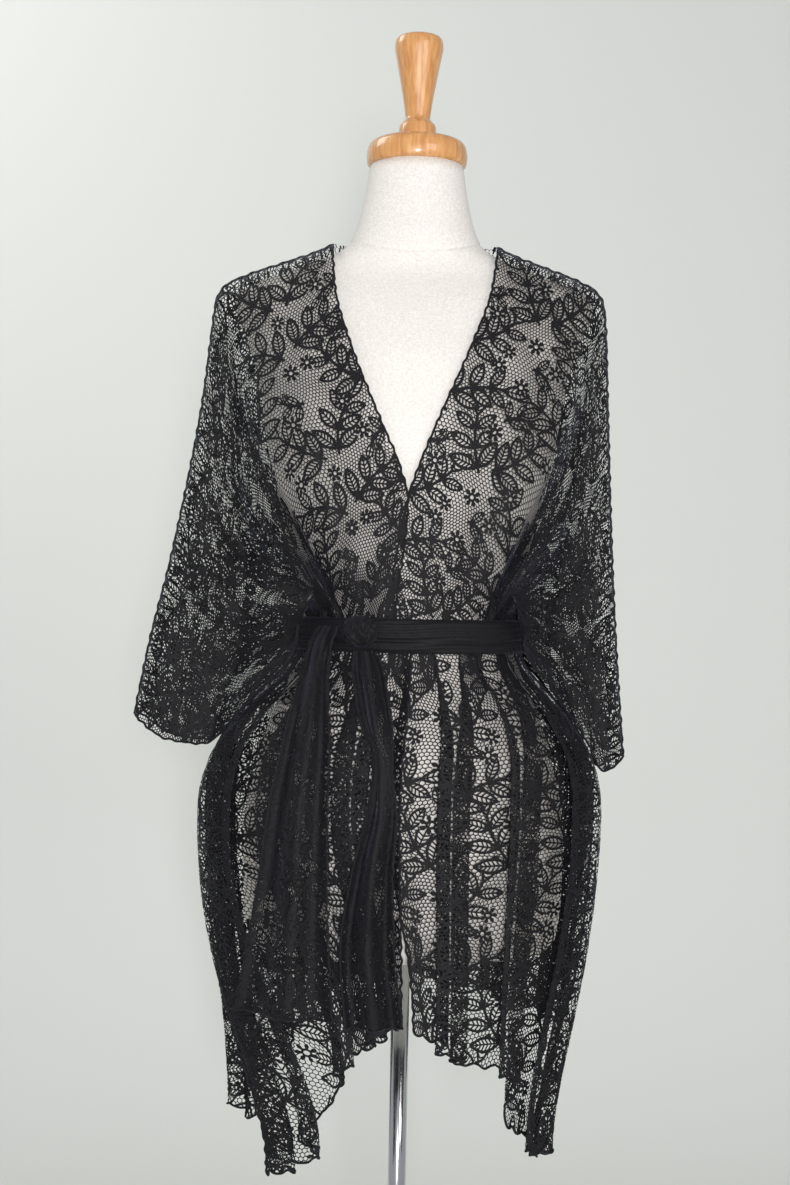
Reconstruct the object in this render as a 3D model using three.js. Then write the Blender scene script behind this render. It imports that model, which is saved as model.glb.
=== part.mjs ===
// A lace shawl, open at the front and tied with its own lace sash, on a dress form with a turned
// wooden neck cap and finial, a pole and a round base plate.
// Millimetres, +Z up. The front faces -Y and +X is to the right of someone who looks at the front.
// The origin is on the floor under the pole.
// The shawl is one lace rectangle with a slit from the middle of the front edge to the neck. It
// hangs over the shoulders, the sash gathers it at the waist, and the cloth beyond the shoulders
// falls in two open wings. Its stretches above and below the sash are separate solids.
// Lists of points (x, z) below are read in the front view, and depths follow from the form.

import * as THREE from "three";

// Sizes that drive the cloth
const LACE_WALL = 1.2;
const SEAM_GAP = 0.3;
const FORM_CLEARANCE = 6;     // from the form to the cloth, sideways and in depth
const SHOULDER_LIFT = 4;      // from the form up to the cloth on the shoulders
const WING_BRIDGE = 0.35;     // share of the way to the wing edge that the chest curve spans
const WING_BLOUSE = 10;        // swell of the wing where it falls over the sash
const WING_EDGE_RADIUS = 26;  // rounding of the fold down the outer edge of a wing
const BLEND_RADIUS = 22;      // soft corner between the chest and the wing
const BRIDGE_END = 0.85; // share of the way down from which the wing joins the chest
const BLOUSE_SPREAD = 0.3;
const BLOUSE_WAYS = { start: 0.45, full: 0.75, fade: 0.9 };
const SASH_PRESS = 0.85; // share of a crease's height that the sash presses out
const PRESS_START = 0.75;
const CREASE_RUN = 0.35;
const FRONT_LAP = { right: 0, left: 3 };
const LAP_WAYS = { start: 0.35, full: 0.7, spread: 0.3 };
const ROW_CROWDING = 1.8; // rows crowd towards the shoulder by this power
const MITRE_FLOOR = 0.4;      // a fold's corner stands out at most 1 / 0.4 walls
const HIP_SHARE = 0.42;
const HIP_Z = 800;
const FACE_EDGE_RISE = 0.88; // heights of a pleat's lines as shares of the height of its face
const HALF_TUCK_RISE = 0.5;
const TUCK_RISE = 0.1;
const TUCK_OPEN = { start: 0.02, end: 0.3 }; // shares of the fall over which the tucks open
const CLOSED_RISE = 0.2;
const FIRST_ROW = 0.04;
const SKIRT_CROWDING = 1.15;

// Sizes that drive the sash
const WAIST_Z = 973;
const BAND_CLEARANCE = 15;    // from the form to the inner face of the band
const BAND_THICKEST = 6;

// Sizes that drive the stand
const POLE_RADIUS = 9.5;
const BASE_RADIUS = 160;
const BASE_EDGE = 8;
const BASE_BEVEL = { in: 6, up: 3 };
const BASE_BOSS_RADIUS = 30;
const BASE_HEIGHT = 16;
const NECK_TOP = 1462;

// Mesh steps
const RING_STEPS = 40;
const LATHE_STEPS = 28;
const CHEST_COLUMNS = 7;
const WING_COLUMNS = 15;
const UPPER_ROWS = 12;
const SKIRT_ROWS = 9;
const TAIL_COLUMNS = 8;
const KNOT_STEPS = 20;
const KNOT_LEVELS = 10;
const TAIL_ROWS = 16;
const ARC_SAMPLES = 160;

// Dress form, one row for each level: half width, and depth to the front and to the back.
const FORM_SECTIONS = [
  { z: 648, halfWidth: 152, front: 100, back: 104 },
  { z: 656, halfWidth: 160, front: 107, back: 112 },
  { z: 700, halfWidth: 166, front: 113, back: 120 },
  { z: 765, halfWidth: 167, front: 115, back: 124 },
  { z: 870, halfWidth: 146, front: 103, back: 110 },
  { z: 973, halfWidth: 110, front: 86, back: 80 },
  { z: 1080, halfWidth: 130, front: 102, back: 86 },
  { z: 1160, halfWidth: 149, front: 123, back: 92 },
  { z: 1240, halfWidth: 162, front: 109, back: 97 },
  { z: 1285, halfWidth: 178, front: 90, back: 97 },
  { z: 1312, halfWidth: 188, front: 76, back: 91 },
  { z: 1326, halfWidth: 184, front: 67, back: 84 },
  { z: 1336, halfWidth: 168, front: 60, back: 77 },
  { z: 1348, halfWidth: 136, front: 55, back: 72 },
  { z: 1360, halfWidth: 103, front: 54, back: 67 },
  { z: 1371, halfWidth: 79, front: 55, back: 63 },
  { z: 1381, halfWidth: 69, front: 55, back: 60 },
  { z: 1403, halfWidth: 60, front: 52, back: 55 },
  { z: 1435, halfWidth: 53, front: 49, back: 50 },
  { z: NECK_TOP, halfWidth: 49, front: 47, back: 47 },
];

// Cloth below the sash, before its folds, one row for each level. It hangs a little to the left.
const SKIRT_SECTIONS = [
  { z: 430, halfWidth: 192, front: 134, back: 142, middle: -5 },
  { z: 650, halfWidth: 196, front: 130, back: 139, middle: -5 },
  { z: 730, halfWidth: 199, front: 126, back: 136, middle: -5 },
  { z: 800, halfWidth: 202, front: 121, back: 129, middle: -5 },
  { z: 845, halfWidth: 196, front: 115, back: 122, middle: -4 },
  { z: 890, halfWidth: 172, front: 108, back: 113, middle: -2 },
  { z: 950, halfWidth: 121, front: 94, back: 89, middle: 0 },
  { z: 973, halfWidth: 116, front: 92, back: 86, middle: 0 },
];

// Outer edge of each wing from its lower corner up to the neck point, one row for each level.
const WING_EDGE = {
  right: [
    { z: 850, reach: 228 },
    { z: 945, reach: 220 },
    { z: 1050, reach: 213 },
    { z: 1218, reach: 205 },
    { z: 1290, reach: 202 },
    { z: 1320, reach: 199 },
    { z: 1334, reach: 192 },
    { z: 1346, reach: 171 },
    { z: 1358, reach: 139 },
    { z: 1370, reach: 106 },
    { z: 1379, reach: 86 },
  ],
  left: [
    { z: 885, reach: 284 },
    { z: 960, reach: 270 },
    { z: 1050, reach: 249 },
    { z: 1218, reach: 219 },
    { z: 1290, reach: 211 },
    { z: 1320, reach: 207 },
    { z: 1334, reach: 198 },
    { z: 1346, reach: 174 },
    { z: 1358, reach: 140 },
    { z: 1370, reach: 106 },
    { z: 1379, reach: 86 },
  ],
};

// Lines down the cloth from the shoulder to the sash: share of the way, distance to the side and
// height. The front edge bounds the slit, the turn line starts at the shoulder tip, and the hem
// line is the cloth's own outer edge under the wing. The back starts from its middle.
const FRONT_EDGE = {
  right: [
    { way: 0, x: 86, z: 1379 },
    { way: 0.15, x: 77, z: 1320 },
    { way: 0.3, x: 57, z: 1262 },
    { way: 0.5, x: 24, z: 1183 },
    { way: 0.62, x: 6, z: 1137 },
    { way: 0.7, x: -4, z: 1106 },
    { way: 1, x: -22, z: 995 },
  ],
  left: [
    { way: 0, x: 86, z: 1379 },
    { way: 0.15, x: 80, z: 1320 },
    { way: 0.3, x: 63, z: 1262 },
    { way: 0.5, x: 31, z: 1183 },
    { way: 0.62, x: 11, z: 1137 },
    { way: 0.7, x: 3, z: 1106 },
    { way: 1, x: 14, z: 995 },
  ],
};
const TURN_LINE = {
  right: [
    { way: 0, x: 198, z: 1322 },
    { way: 0.4, x: 158, z: 1188 },
    { way: 0.75, x: 104, z: 1068 },
    { way: 1, x: 76, z: 995 },
  ],
  left: [
    { way: 0, x: 206, z: 1322 },
    { way: 0.4, x: 163, z: 1188 },
    { way: 0.75, x: 102, z: 1068 },
    { way: 1, x: 66, z: 995 },
  ],
};
const HEM_LINE = {
  right: [
    { way: 0, x: 228, z: 850 },
    { way: 0.15, x: 206, z: 836 },
    { way: 0.35, x: 186, z: 868 },
    { way: 0.6, x: 146, z: 922 },
    { way: 0.78, x: 118, z: 962 },
    { way: 0.9, x: 116, z: 1001 },
    { way: 1, x: 110, z: 995 },
  ],
  left: [
    { way: 0, x: 284, z: 885 },
    { way: 0.2, x: 246, z: 860 },
    { way: 0.4, x: 210, z: 856 },
    { way: 0.62, x: 158, z: 906 },
    { way: 0.8, x: 112, z: 962 },
    { way: 0.91, x: 110, z: 1001 },
    { way: 1, x: 104, z: 995 },
  ],
};
const BACK_MIDDLE = [
  { way: 0, x: 0, z: 1396 },
  { way: 0.4, x: 0, z: 1238 },
  { way: 0.75, x: 0, z: 1090 },
  { way: 1, x: 0, z: 995 },
];

// Creases above the sash, one row for each: place across the cloth from the slit (0) to the wing
// hem (1), spread, height (a trough is below zero) and the share of the way down where it starts.
const FRONT_CREASES = {
  right: [
    { at: 0.1, spread: 0.03, height: 6, start: 0.6 },
    { at: 0.19, spread: 0.035, height: 9, start: 0.15 },
    { at: 0.29, spread: 0.04, height: -8, start: 0.1 },
    { at: 0.42, spread: 0.05, height: 11, start: 0.1 },
    { at: 0.58, spread: 0.06, height: -10, start: 0.05 },
    { at: 0.75, spread: 0.06, height: 12, start: 0.05 },
    { at: 0.9, spread: 0.05, height: -6, start: 0.1 },
  ],
  left: [
    { at: 0.08, spread: 0.03, height: 6, start: 0.55 },
    { at: 0.17, spread: 0.035, height: 8, start: 0.2 },
    { at: 0.27, spread: 0.04, height: -9, start: 0.1 },
    { at: 0.38, spread: 0.05, height: 10, start: 0.1 },
    { at: 0.52, spread: 0.05, height: -11, start: 0.05 },
    { at: 0.67, spread: 0.06, height: 13, start: 0.05 },
    { at: 0.85, spread: 0.06, height: -8, start: 0.1 },
  ],
};
const BACK_CREASES = [
  { at: 0.07, spread: 0.04, height: 7, start: 0.45 },
  { at: 0.17, spread: 0.04, height: 9, start: 0.35 },
  { at: 0.26, spread: 0.035, height: -6, start: 0.3 },
  { at: 0.35, spread: 0.04, height: 10, start: 0.15 },
  { at: 0.5, spread: 0.05, height: -10, start: 0.05 },
  { at: 0.66, spread: 0.06, height: 12, start: 0.05 },
  { at: 0.84, spread: 0.06, height: -8, start: 0.1 },
];

// Pleats below the sash, one row for each: the angles of the two edges of its face at the sash, at
// the hip and at the hem, the share of the face that is tucked under each edge, and its height.
// Angles run from the middle of the front, or of the back, to the side.
const FRONT_PLEATS = {
  right: [
    { sash: [13, 25], hip: [10, 19], hem: [11, 20], tuck: 0.38, rise: 13 },
    { sash: [35, 48], hip: [31, 41], hem: [30, 37], tuck: 0.4, rise: 15 },
    { sash: [55, 65], hip: [55, 76], hem: [40, 51], tuck: 0.36, rise: 14 },
  ],
  left: [
    { sash: [8, 20], hip: [9, 19], hem: [2.5, 8], tuck: 0.38, rise: 11 },
    { sash: [30, 42], hip: [31, 43], hem: [11.5, 17], tuck: 0.38, rise: 12 },
    { sash: [52, 63], hip: [53, 74], hem: [20.5, 37.5], tuck: 0.36, rise: 16 },
  ],
};
const BACK_PLEATS = [
  { sash: [-66, -55], hip: [-74, -58], hem: [-62, -48], tuck: 0.36, rise: 15 },
  { sash: [-42, -30], hip: [-45, -34], hem: [-40, -30], tuck: 0.4, rise: 14 },
  { sash: [-19, -8], hip: [-20, -10], hem: [-21, -11], tuck: 0.38, rise: 13 },
  { sash: [7, 18], hip: [6, 16], hem: [5, 15], tuck: 0.4, rise: 14 },
  { sash: [31, 42], hip: [30, 41], hem: [28, 38], tuck: 0.38, rise: 13 },
  { sash: [54, 65], hip: [56, 73], hem: [50, 66], tuck: 0.36, rise: 15 },
];

// Free edges of the cloth below the sash, as angles at the same three levels, and their height. The
// left front laps over the right one.
const SKIRT_EDGES = {
  right: [
    { sash: 0, hip: -3.5, hem: 5, rise: 0 },
    { sash: 80, hip: 84, hem: 45, rise: 0 },
  ],
  left: [
    { sash: -1.5, hip: 0, hem: -1.5, rise: 12 },
    { sash: 80, hip: 84, hem: 40, rise: 0 },
  ],
  back: [
    { sash: -82, hip: -87, hem: -52, rise: 0 },
    { sash: 82, hip: 87, hem: 58, rise: 0 },
  ],
};

// Fall from the waist to the hem, one row for each share of the cloth's width.
const HEM_FALL = {
  right: [
    { share: 0, fall: 380 },
    { share: 0.3, fall: 412 },
    { share: 0.48, fall: 428 },
    { share: 0.58, fall: 478 },
    { share: 0.8, fall: 502 },
    { share: 1, fall: 512 },
  ],
  left: [
    { share: 0, fall: 374 },
    { share: 0.3, fall: 398 },
    { share: 0.55, fall: 428 },
    { share: 0.68, fall: 488 },
    { share: 0.9, fall: 520 },
    { share: 1, fall: 530 },
  ],
  back: [
    { share: 0, fall: 536 },
    { share: 0.12, fall: 505 },
    { share: 0.3, fall: 415 },
    { share: 0.5, fall: 384 },
    { share: 0.7, fall: 398 },
    { share: 0.88, fall: 412 },
    { share: 1, fall: 404 },
  ],
};

// Sash ends, one row for each level: middle of the end to the side, width, depth of its folds, turn
// about its own length in degrees, and distance in front of the cloth.
const SASH_TAILS = {
  left: [
    { z: 982, x: -78, width: 20, fold: 3, turn: 0, out: 34 },
    { z: 966, x: -86, width: 23, fold: 4, turn: 4, out: 33 },
    { z: 930, x: -92, width: 30, fold: 5, turn: 4, out: 32 },
    { z: 870, x: -97, width: 46, fold: 6, turn: 2, out: 31 },
    { z: 810, x: -103, width: 58, fold: 7, turn: 4, out: 30 },
    { z: 740, x: -107, width: 68, fold: 8, turn: 4, out: 30 },
    { z: 670, x: -111, width: 82, fold: 9, turn: 2, out: 30 },
    { z: 604, x: -114, width: 98, fold: 8, turn: -2, out: 30 },
  ],
  right: [
    { z: 958, x: -42, width: 22, fold: 3, turn: 0, out: 28 },
    { z: 935, x: -38, width: 32, fold: 5, turn: 8, out: 28 },
    { z: 890, x: -30, width: 34, fold: 6, turn: 22, out: 28 },
    { z: 850, x: -22, width: 28, fold: 5, turn: 48, out: 30 },
    { z: 810, x: -22, width: 32, fold: 5, turn: 30, out: 30 },
    { z: 750, x: -30, width: 40, fold: 7, turn: 10, out: 28 },
    { z: 680, x: -34, width: 52, fold: 8, turn: 0, out: 27 },
    { z: 600, x: -26, width: 56, fold: 8, turn: -6, out: 27 },
  ],
};
const TAIL_WALL = 2.4;        // two layers of the sash lace lie on each other
const TAIL_WAVES = 1.5;       // folds across one sash end

// Section of the band: two folds of the sash, height from its middle and thickness.
const BAND_PROFILE = [
  { rise: -17, thick: 1.6 },
  { rise: -13, thick: 4.2 },
  { rise: -8, thick: 4.6 },
  { rise: -5.5, thick: 2.6 },
  { rise: -1, thick: 5 },
  { rise: 8, thick: 5.4 },
  { rise: 14, thick: 4.4 },
  { rise: 17, thick: 1.6 },
];
const KNOT = { x: -48, width: 34, height: 32, depth: 17, lift: 4, ridges: 4, ridgeHeight: 1.1 };

// Turned wood, one row for each step of the outline from its foot to its top.
const CAP_OUTLINE = [
  { radius: 49, z: NECK_TOP + SEAM_GAP },
  { radius: 52, z: 1465 },
  { radius: 53, z: 1473 },
  { radius: 51, z: 1483 },
  { radius: 44, z: 1488 },
  { radius: 24, z: 1489.5 },
];
const FINIAL_OUTLINE = [
  { radius: 19, z: 1489.8 },
  { radius: 20, z: 1494 },
  { radius: 19, z: 1505 },
  { radius: 15, z: 1510 },
  { radius: 13, z: 1514 },
  { radius: 16, z: 1535 },
  { radius: 22, z: 1568 },
  { radius: 25.5, z: 1588 },
  { radius: 24, z: 1596 },
  { radius: 15, z: 1600 },
];

// Smooth curve through one column of a table, which never swings past its rows.
function columnCurve(table, key, column) {
  const last = table.length - 1;
  const at = table.map((row) => row[key]);
  const value = table.map((row) => row[column]);
  const secant = at.slice(1).map((next, i) => (value[i + 1] - value[i]) / (next - at[i]));
  const slope = value.map((_, i) => {
    if (i === 0) return secant[0];
    if (i === last) return secant[last - 1];
    const before = secant[i - 1];
    const after = secant[i];
    return before * after <= 0 ? 0 : (2 * before * after) / (before + after);
  });
  return (place) => {
    const held = Math.min(Math.max(place, at[0]), at[last]);
    let i = 0;
    while (i < last - 1 && held > at[i + 1]) i += 1;
    const step = at[i + 1] - at[i];
    const s = (held - at[i]) / step;
    const a = (1 + 2 * s) * (1 - s) ** 2 * value[i] + s * s * (3 - 2 * s) * value[i + 1];
    return a + s * (1 - s) * step * ((1 - s) * slope[i] - s * slope[i + 1]);
  };
}

function lerp(a, b, share) {
  return a + (b - a) * share;
}

function smoothStep(from, to, value) {
  const s = Math.min(Math.max((value - from) / (to - from), 0), 1);
  return s * s * (3 - 2 * s);
}

// The larger of two values, with the corner between them rounded off.
function softMax(a, b, radius) {
  const overlap = Math.max(radius - Math.abs(a - b), 0) / radius;
  return Math.max(a, b) + overlap * overlap * radius * 0.25;
}

// Depth of an ellipse at a distance to the side of its middle.
function ellipseDepth(x, halfWidth, depth) {
  const share = Math.min(Math.abs(x) / halfWidth, 1);
  return depth * Math.sqrt(1 - share * share);
}

const form = {
  halfWidth: columnCurve(FORM_SECTIONS, "z", "halfWidth"),
  front: columnCurve(FORM_SECTIONS, "z", "front"),
  back: columnCurve(FORM_SECTIONS, "z", "back"),
};
const skirt = {
  halfWidth: columnCurve(SKIRT_SECTIONS, "z", "halfWidth"),
  front: columnCurve(SKIRT_SECTIONS, "z", "front"),
  back: columnCurve(SKIRT_SECTIONS, "z", "back"),
  middle: columnCurve(SKIRT_SECTIONS, "z", "middle"),
};

// Points at equal steps of length along a curve that is given as points at equal steps of a share.
function evenAlong(points) {
  const travelled = [0];
  for (let i = 1; i < points.length; i += 1) {
    travelled.push(travelled[i - 1] + points[i].distanceTo(points[i - 1]));
  }
  const length = travelled[points.length - 1];
  const at = (share) => {
    const wanted = share * length;
    let i = 0;
    while (i < points.length - 2 && travelled[i + 1] < wanted) i += 1;
    const s = (wanted - travelled[i]) / (travelled[i + 1] - travelled[i]);
    return points[i].clone().lerp(points[i + 1], s);
  };
  return { at, length };
}

// Part of a wing edge between two heights, from the higher to the lower, as (x, z) points.
function edgeBetween(reach, highZ, lowZ) {
  const points = [];
  for (let i = 0; i <= ARC_SAMPLES; i += 1) {
    const z = lerp(highZ, lowZ, i / ARC_SAMPLES);
    points.push(new THREE.Vector2(reach(z), z));
  }
  return evenAlong(points);
}

// A line down the cloth as a function of the share of the way.
function lineDown(table) {
  const x = columnCurve(table, "way", "x");
  const z = columnCurve(table, "way", "z");
  return (way) => new THREE.Vector2(x(way), z(way));
}

// Point of a patch between four edges: top and bottom run across, start and end run down.
function patchPoint(top, bottom, start, end, across, way) {
  const point = top(across).multiplyScalar(1 - way);
  point.addScaledVector(bottom(across), way);
  point.addScaledVector(start(way), 1 - across);
  point.addScaledVector(end(way), across);
  point.addScaledVector(top(0), -(1 - across) * (1 - way));
  point.addScaledVector(top(1), -across * (1 - way));
  point.addScaledVector(bottom(0), -(1 - across) * way);
  point.addScaledVector(bottom(1), -across * way);
  return point;
}

// Bottom edge of a patch: the two lines' last points, joined straight along the sash.
function alongSash(start, end) {
  const from = start(1);
  const to = end(1);
  return (across) => from.clone().lerp(to, across);
}

// One half of the cloth above the sash, seen from its own side: the chest patch from the slit, or
// from the middle of the back, to the turn line, then the wing patch to the hem line.
function upperHalf(side, firstLine, neckLine) {
  const reach = columnCurve(WING_EDGE[side], "z", "reach");
  const lineTurn = lineDown(TURN_LINE[side]);
  const lineHem = lineDown(HEM_LINE[side]);
  const tipZ = lineTurn(0).y;
  const shoulder = neckLine(reach, tipZ);
  const wing = edgeBetween(reach, tipZ, WING_EDGE[side][0].z);
  const turnShare = shoulder.length / (shoulder.length + wing.length);
  const point = (across, way) => {
    if (across <= turnShare) {
      const bottom = alongSash(firstLine, lineTurn);
      return patchPoint(shoulder.at, bottom, firstLine, lineTurn, across / turnShare, way);
    }
    const inWing = (across - turnShare) / (1 - turnShare);
    return patchPoint(wing.at, alongSash(lineTurn, lineHem), lineTurn, lineHem, inWing, way);
  };
  return { reach, turnShare, point };
}

// Top edge of a front: down the shoulder from the neck point to the shoulder tip.
function frontNeckLine(reach, tipZ) {
  return edgeBetween(reach, FRONT_EDGE.right[0].z, tipZ);
}

// Top edge of the back: round the back of the neck from its middle, then down the shoulder.
function backNeckLine(reach, tipZ) {
  const neckZ = FRONT_EDGE.right[0].z;
  const neckX = reach(neckZ);
  const points = [];
  for (let i = 0; i < ARC_SAMPLES; i += 1) {
    const share = i / ARC_SAMPLES;
    points.push(new THREE.Vector2(neckX * share, lerp(BACK_MIDDLE[0].z, neckZ, share * share)));
  }
  for (let i = 0; i <= ARC_SAMPLES; i += 1) {
    const z = lerp(neckZ, tipZ, i / ARC_SAMPLES);
    points.push(new THREE.Vector2(reach(z), z));
  }
  return evenAlong(points);
}

// Depth of the cloth above the sash at one place, measured from the shoulder seam.
function upperDepth(half, facing, across, way) {
  const place = half.point(across, way);
  const top = half.point(across, 0);
  const formZ = place.y - SHOULDER_LIFT;
  const bodyWidth = form.halfWidth(formZ) + FORM_CLEARANCE;
  const spare = Math.max(half.reach(place.y) - bodyWidth, 0);
  const bodyDepth = form[facing](formZ) + FORM_CLEARANCE;
  const bridge = WING_BRIDGE * spare * (1 - smoothStep(BRIDGE_END, 1, way));
  const chest = ellipseDepth(place.x, bodyWidth + bridge, bodyDepth);
  const fromEdge = Math.min(place.distanceTo(top) / WING_EDGE_RADIUS, 1);
  const wing = WING_EDGE_RADIUS * Math.sqrt(1 - (1 - fromEdge) ** 2);
  const inWing = smoothStep(half.turnShare, half.turnShare + BLOUSE_SPREAD, across);
  const swelling = smoothStep(BLOUSE_WAYS.start, BLOUSE_WAYS.full, way);
  const blouse = WING_BLOUSE * inWing * swelling * (1 - smoothStep(BLOUSE_WAYS.fade, 1, way));
  return softMax(chest, wing, BLEND_RADIUS * fromEdge + 0.001) + blouse;
}

// Height of all creases together at one place. The sash presses them nearly flat.
function creaseHeight(creases, across, way) {
  return creases.reduce((sum, crease) => {
    const offset = (across - crease.at) / crease.spread;
    const pressed = 1 - SASH_PRESS * smoothStep(PRESS_START, 1, way);
    const along = smoothStep(crease.start, crease.start + CREASE_RUN, way) * pressed;
    return sum + crease.height * Math.exp(-offset * offset) * along;
  }, 0);
}

// Shares of the way down, with close rows where the cloth turns over the shoulder.
function waysDown() {
  const ways = [];
  for (let j = 0; j <= UPPER_ROWS; j += 1) {
    ways.push((j / UPPER_ROWS) ** ROW_CROWDING);
  }
  return ways;
}

// Shares across one half, from its first line to the wing hem.
function sharesAcross(turnShare) {
  const shares = [];
  for (let i = 0; i < CHEST_COLUMNS; i += 1) {
    shares.push((turnShare * i) / CHEST_COLUMNS);
  }
  for (let i = 0; i <= WING_COLUMNS; i += 1) {
    shares.push(lerp(turnShare, 1, i / WING_COLUMNS));
  }
  return shares;
}

// One column of points above the sash, from the shoulder down to the middle of the sash.
function upperColumn(half, facing, sign, creases, across, lap) {
  const toward = facing === "front" ? -1 : 1;
  const start = SEAM_GAP / 2;
  const column = waysDown().map((way) => {
    const place = half.point(across, way);
    const fromSeam = upperDepth(half, facing, across, way) + creaseHeight(creases, across, way);
    const lapShare = smoothStep(LAP_WAYS.start, LAP_WAYS.full, way);
    const lapDepth = lap * lapShare * (1 - smoothStep(0, LAP_WAYS.spread, across));
    const depth = start + Math.max(fromSeam, 0) + lapDepth;
    return new THREE.Vector3(sign * place.x, toward * depth, place.y);
  });
  const atSash = column[column.length - 1].clone();
  atSash.z = WAIST_Z + SEAM_GAP / 2;
  column.push(atSash);
  return column;
}

// Angle of one fold line at a share of the fall from the sash to the hem.
function foldAngle(line, share) {
  const toHip = smoothStep(0, HIP_SHARE, share);
  const toHem = smoothStep(HIP_SHARE, 1, share);
  return line.sash + (line.hip - line.sash) * toHip + (line.hem - line.hip) * toHem;
}

// Fold line between two others, at a share of the way and with a share of the pleat's height.
function between(a, b, share, rise) {
  return {
    sash: lerp(a.sash, b.sash, share),
    hip: lerp(a.hip, b.hip, share),
    hem: lerp(a.hem, b.hem, share),
    rise,
  };
}

// Fold lines of one skirt from edge to edge. Each pleat has a face that stands off the cloth, and
// cloth tucked back under both of its edges.
function foldLines(edges, pleats) {
  const lines = [edges[0]];
  pleats.forEach((pleat) => {
    const from = { sash: pleat.sash[0], hip: pleat.hip[0], hem: pleat.hem[0] };
    const to = { sash: pleat.sash[1], hip: pleat.hip[1], hem: pleat.hem[1] };
    lines.push(between(lines[lines.length - 1], from, 0.5, 0));
    const tucked = (own, toward, share, rise) => (
      { ...own, toward, tuck: share * pleat.tuck, rise: rise * pleat.rise });
    lines.push(tucked(from, to, 1, TUCK_RISE));
    lines.push(tucked(from, to, 0.5, HALF_TUCK_RISE));
    lines.push({ ...from, rise: FACE_EDGE_RISE * pleat.rise });
    lines.push(between(from, to, 0.5, pleat.rise));
    lines.push({ ...to, rise: FACE_EDGE_RISE * pleat.rise });
    lines.push(tucked(to, from, 0.5, HALF_TUCK_RISE));
    lines.push(tucked(to, from, 1, TUCK_RISE));
  });
  lines.push(between(lines[lines.length - 1], edges[1], 0.5, 0));
  lines.push(edges[1]);
  return lines;
}

// Point on the cloth below the sash: on an ellipse round the form, moved out by the fold's height.
function skirtPoint(facing, sign, angle, z, out) {
  const turn = THREE.MathUtils.degToRad(angle);
  const toward = facing === "front" ? -1 : 1;
  const width = skirt.halfWidth(z);
  const depth = skirt[facing](z);
  const normal = new THREE.Vector2(Math.sin(turn) / width, Math.cos(turn) / depth).normalize();
  const x = width * Math.sin(turn) + out * normal.x;
  const y = depth * Math.cos(turn) + out * normal.y;
  return new THREE.Vector3(skirt.middle(z) + sign * x, toward * y, z);
}

// Place of one fold line at a share of the fall. Tucks open up from nothing at the sash.
function foldPoint(facing, sign, line, share, z) {
  const open = smoothStep(TUCK_OPEN.start, TUCK_OPEN.end, share);
  const own = foldAngle(line, share);
  const tucked = line.toward ? lerp(own, foldAngle(line.toward, share), line.tuck * open) : own;
  const out = line.rise * lerp(CLOSED_RISE, 1, open);
  return skirtPoint(facing, sign, tucked, z, out);
}

// Share of the cloth's width at every fold line, from the lengths between them at the hip.
function clothShares(facing, lines) {
  const points = lines.map((line) => foldPoint(facing, 1, line, HIP_SHARE, HIP_Z));
  const travelled = [0];
  for (let i = 1; i < points.length; i += 1) {
    travelled.push(travelled[i - 1] + points[i].distanceTo(points[i - 1]));
  }
  return travelled.map((length) => length / travelled[points.length - 1]);
}

// Grid of points below the sash, a column for each fold line, from the sash to the hem.
function skirtGrid(facing, sign, edges, pleats, hem) {
  const lines = foldLines(edges, pleats);
  const shares = clothShares(facing, lines);
  const fall = columnCurve(hem, "share", "fall");
  const top = WAIST_Z - SEAM_GAP / 2;
  return lines.map((line, i) => {
    const column = [foldPoint(facing, sign, line, 0, top)];
    for (let j = 0; j <= SKIRT_ROWS; j += 1) {
      const share = lerp(FIRST_ROW, 1, (j / SKIRT_ROWS) ** SKIRT_CROWDING);
      column.push(foldPoint(facing, sign, line, share, WAIST_Z - share * fall(shares[i])));
    }
    return column;
  });
}

// Closed mesh from faces that index into a list of points.
function solidFrom(points, faces, name, material) {
  const geometry = new THREE.BufferGeometry();
  const flat = points.flatMap((point) => [point.x, point.y, point.z]);
  geometry.setAttribute("position", new THREE.Float32BufferAttribute(flat, 3));
  geometry.setIndex(faces.flat());
  geometry.computeVertexNormals();
  const mesh = new THREE.Mesh(geometry, material);
  mesh.name = name;
  return mesh;
}

// Direction out of the cloth at every point of a grid: midway between the strips on its two sides,
// and longer at a fold, so that the wall keeps its thickness there.
function gridNormals(grid, outSign) {
  const across = grid.length - 1;
  const down = grid[0].length - 1;
  return grid.map((column, i) => column.map((point, j) => {
    const alongColumn = column[Math.min(j + 1, down)].clone().sub(column[Math.max(j - 1, 0)]);
    const stripNormal = (from, to) => to.clone().sub(from).cross(alongColumn).normalize();
    const before = i > 0 ? stripNormal(grid[i - 1][j], point) : stripNormal(point, grid[1][j]);
    const after = i < across ? stripNormal(point, grid[i + 1][j]) : before;
    const midway = before.clone().add(after).normalize();
    const mitre = 1 / Math.max(midway.dot(before), MITRE_FLOOR);
    return midway.multiplyScalar(outSign * mitre);
  }));
}

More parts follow.
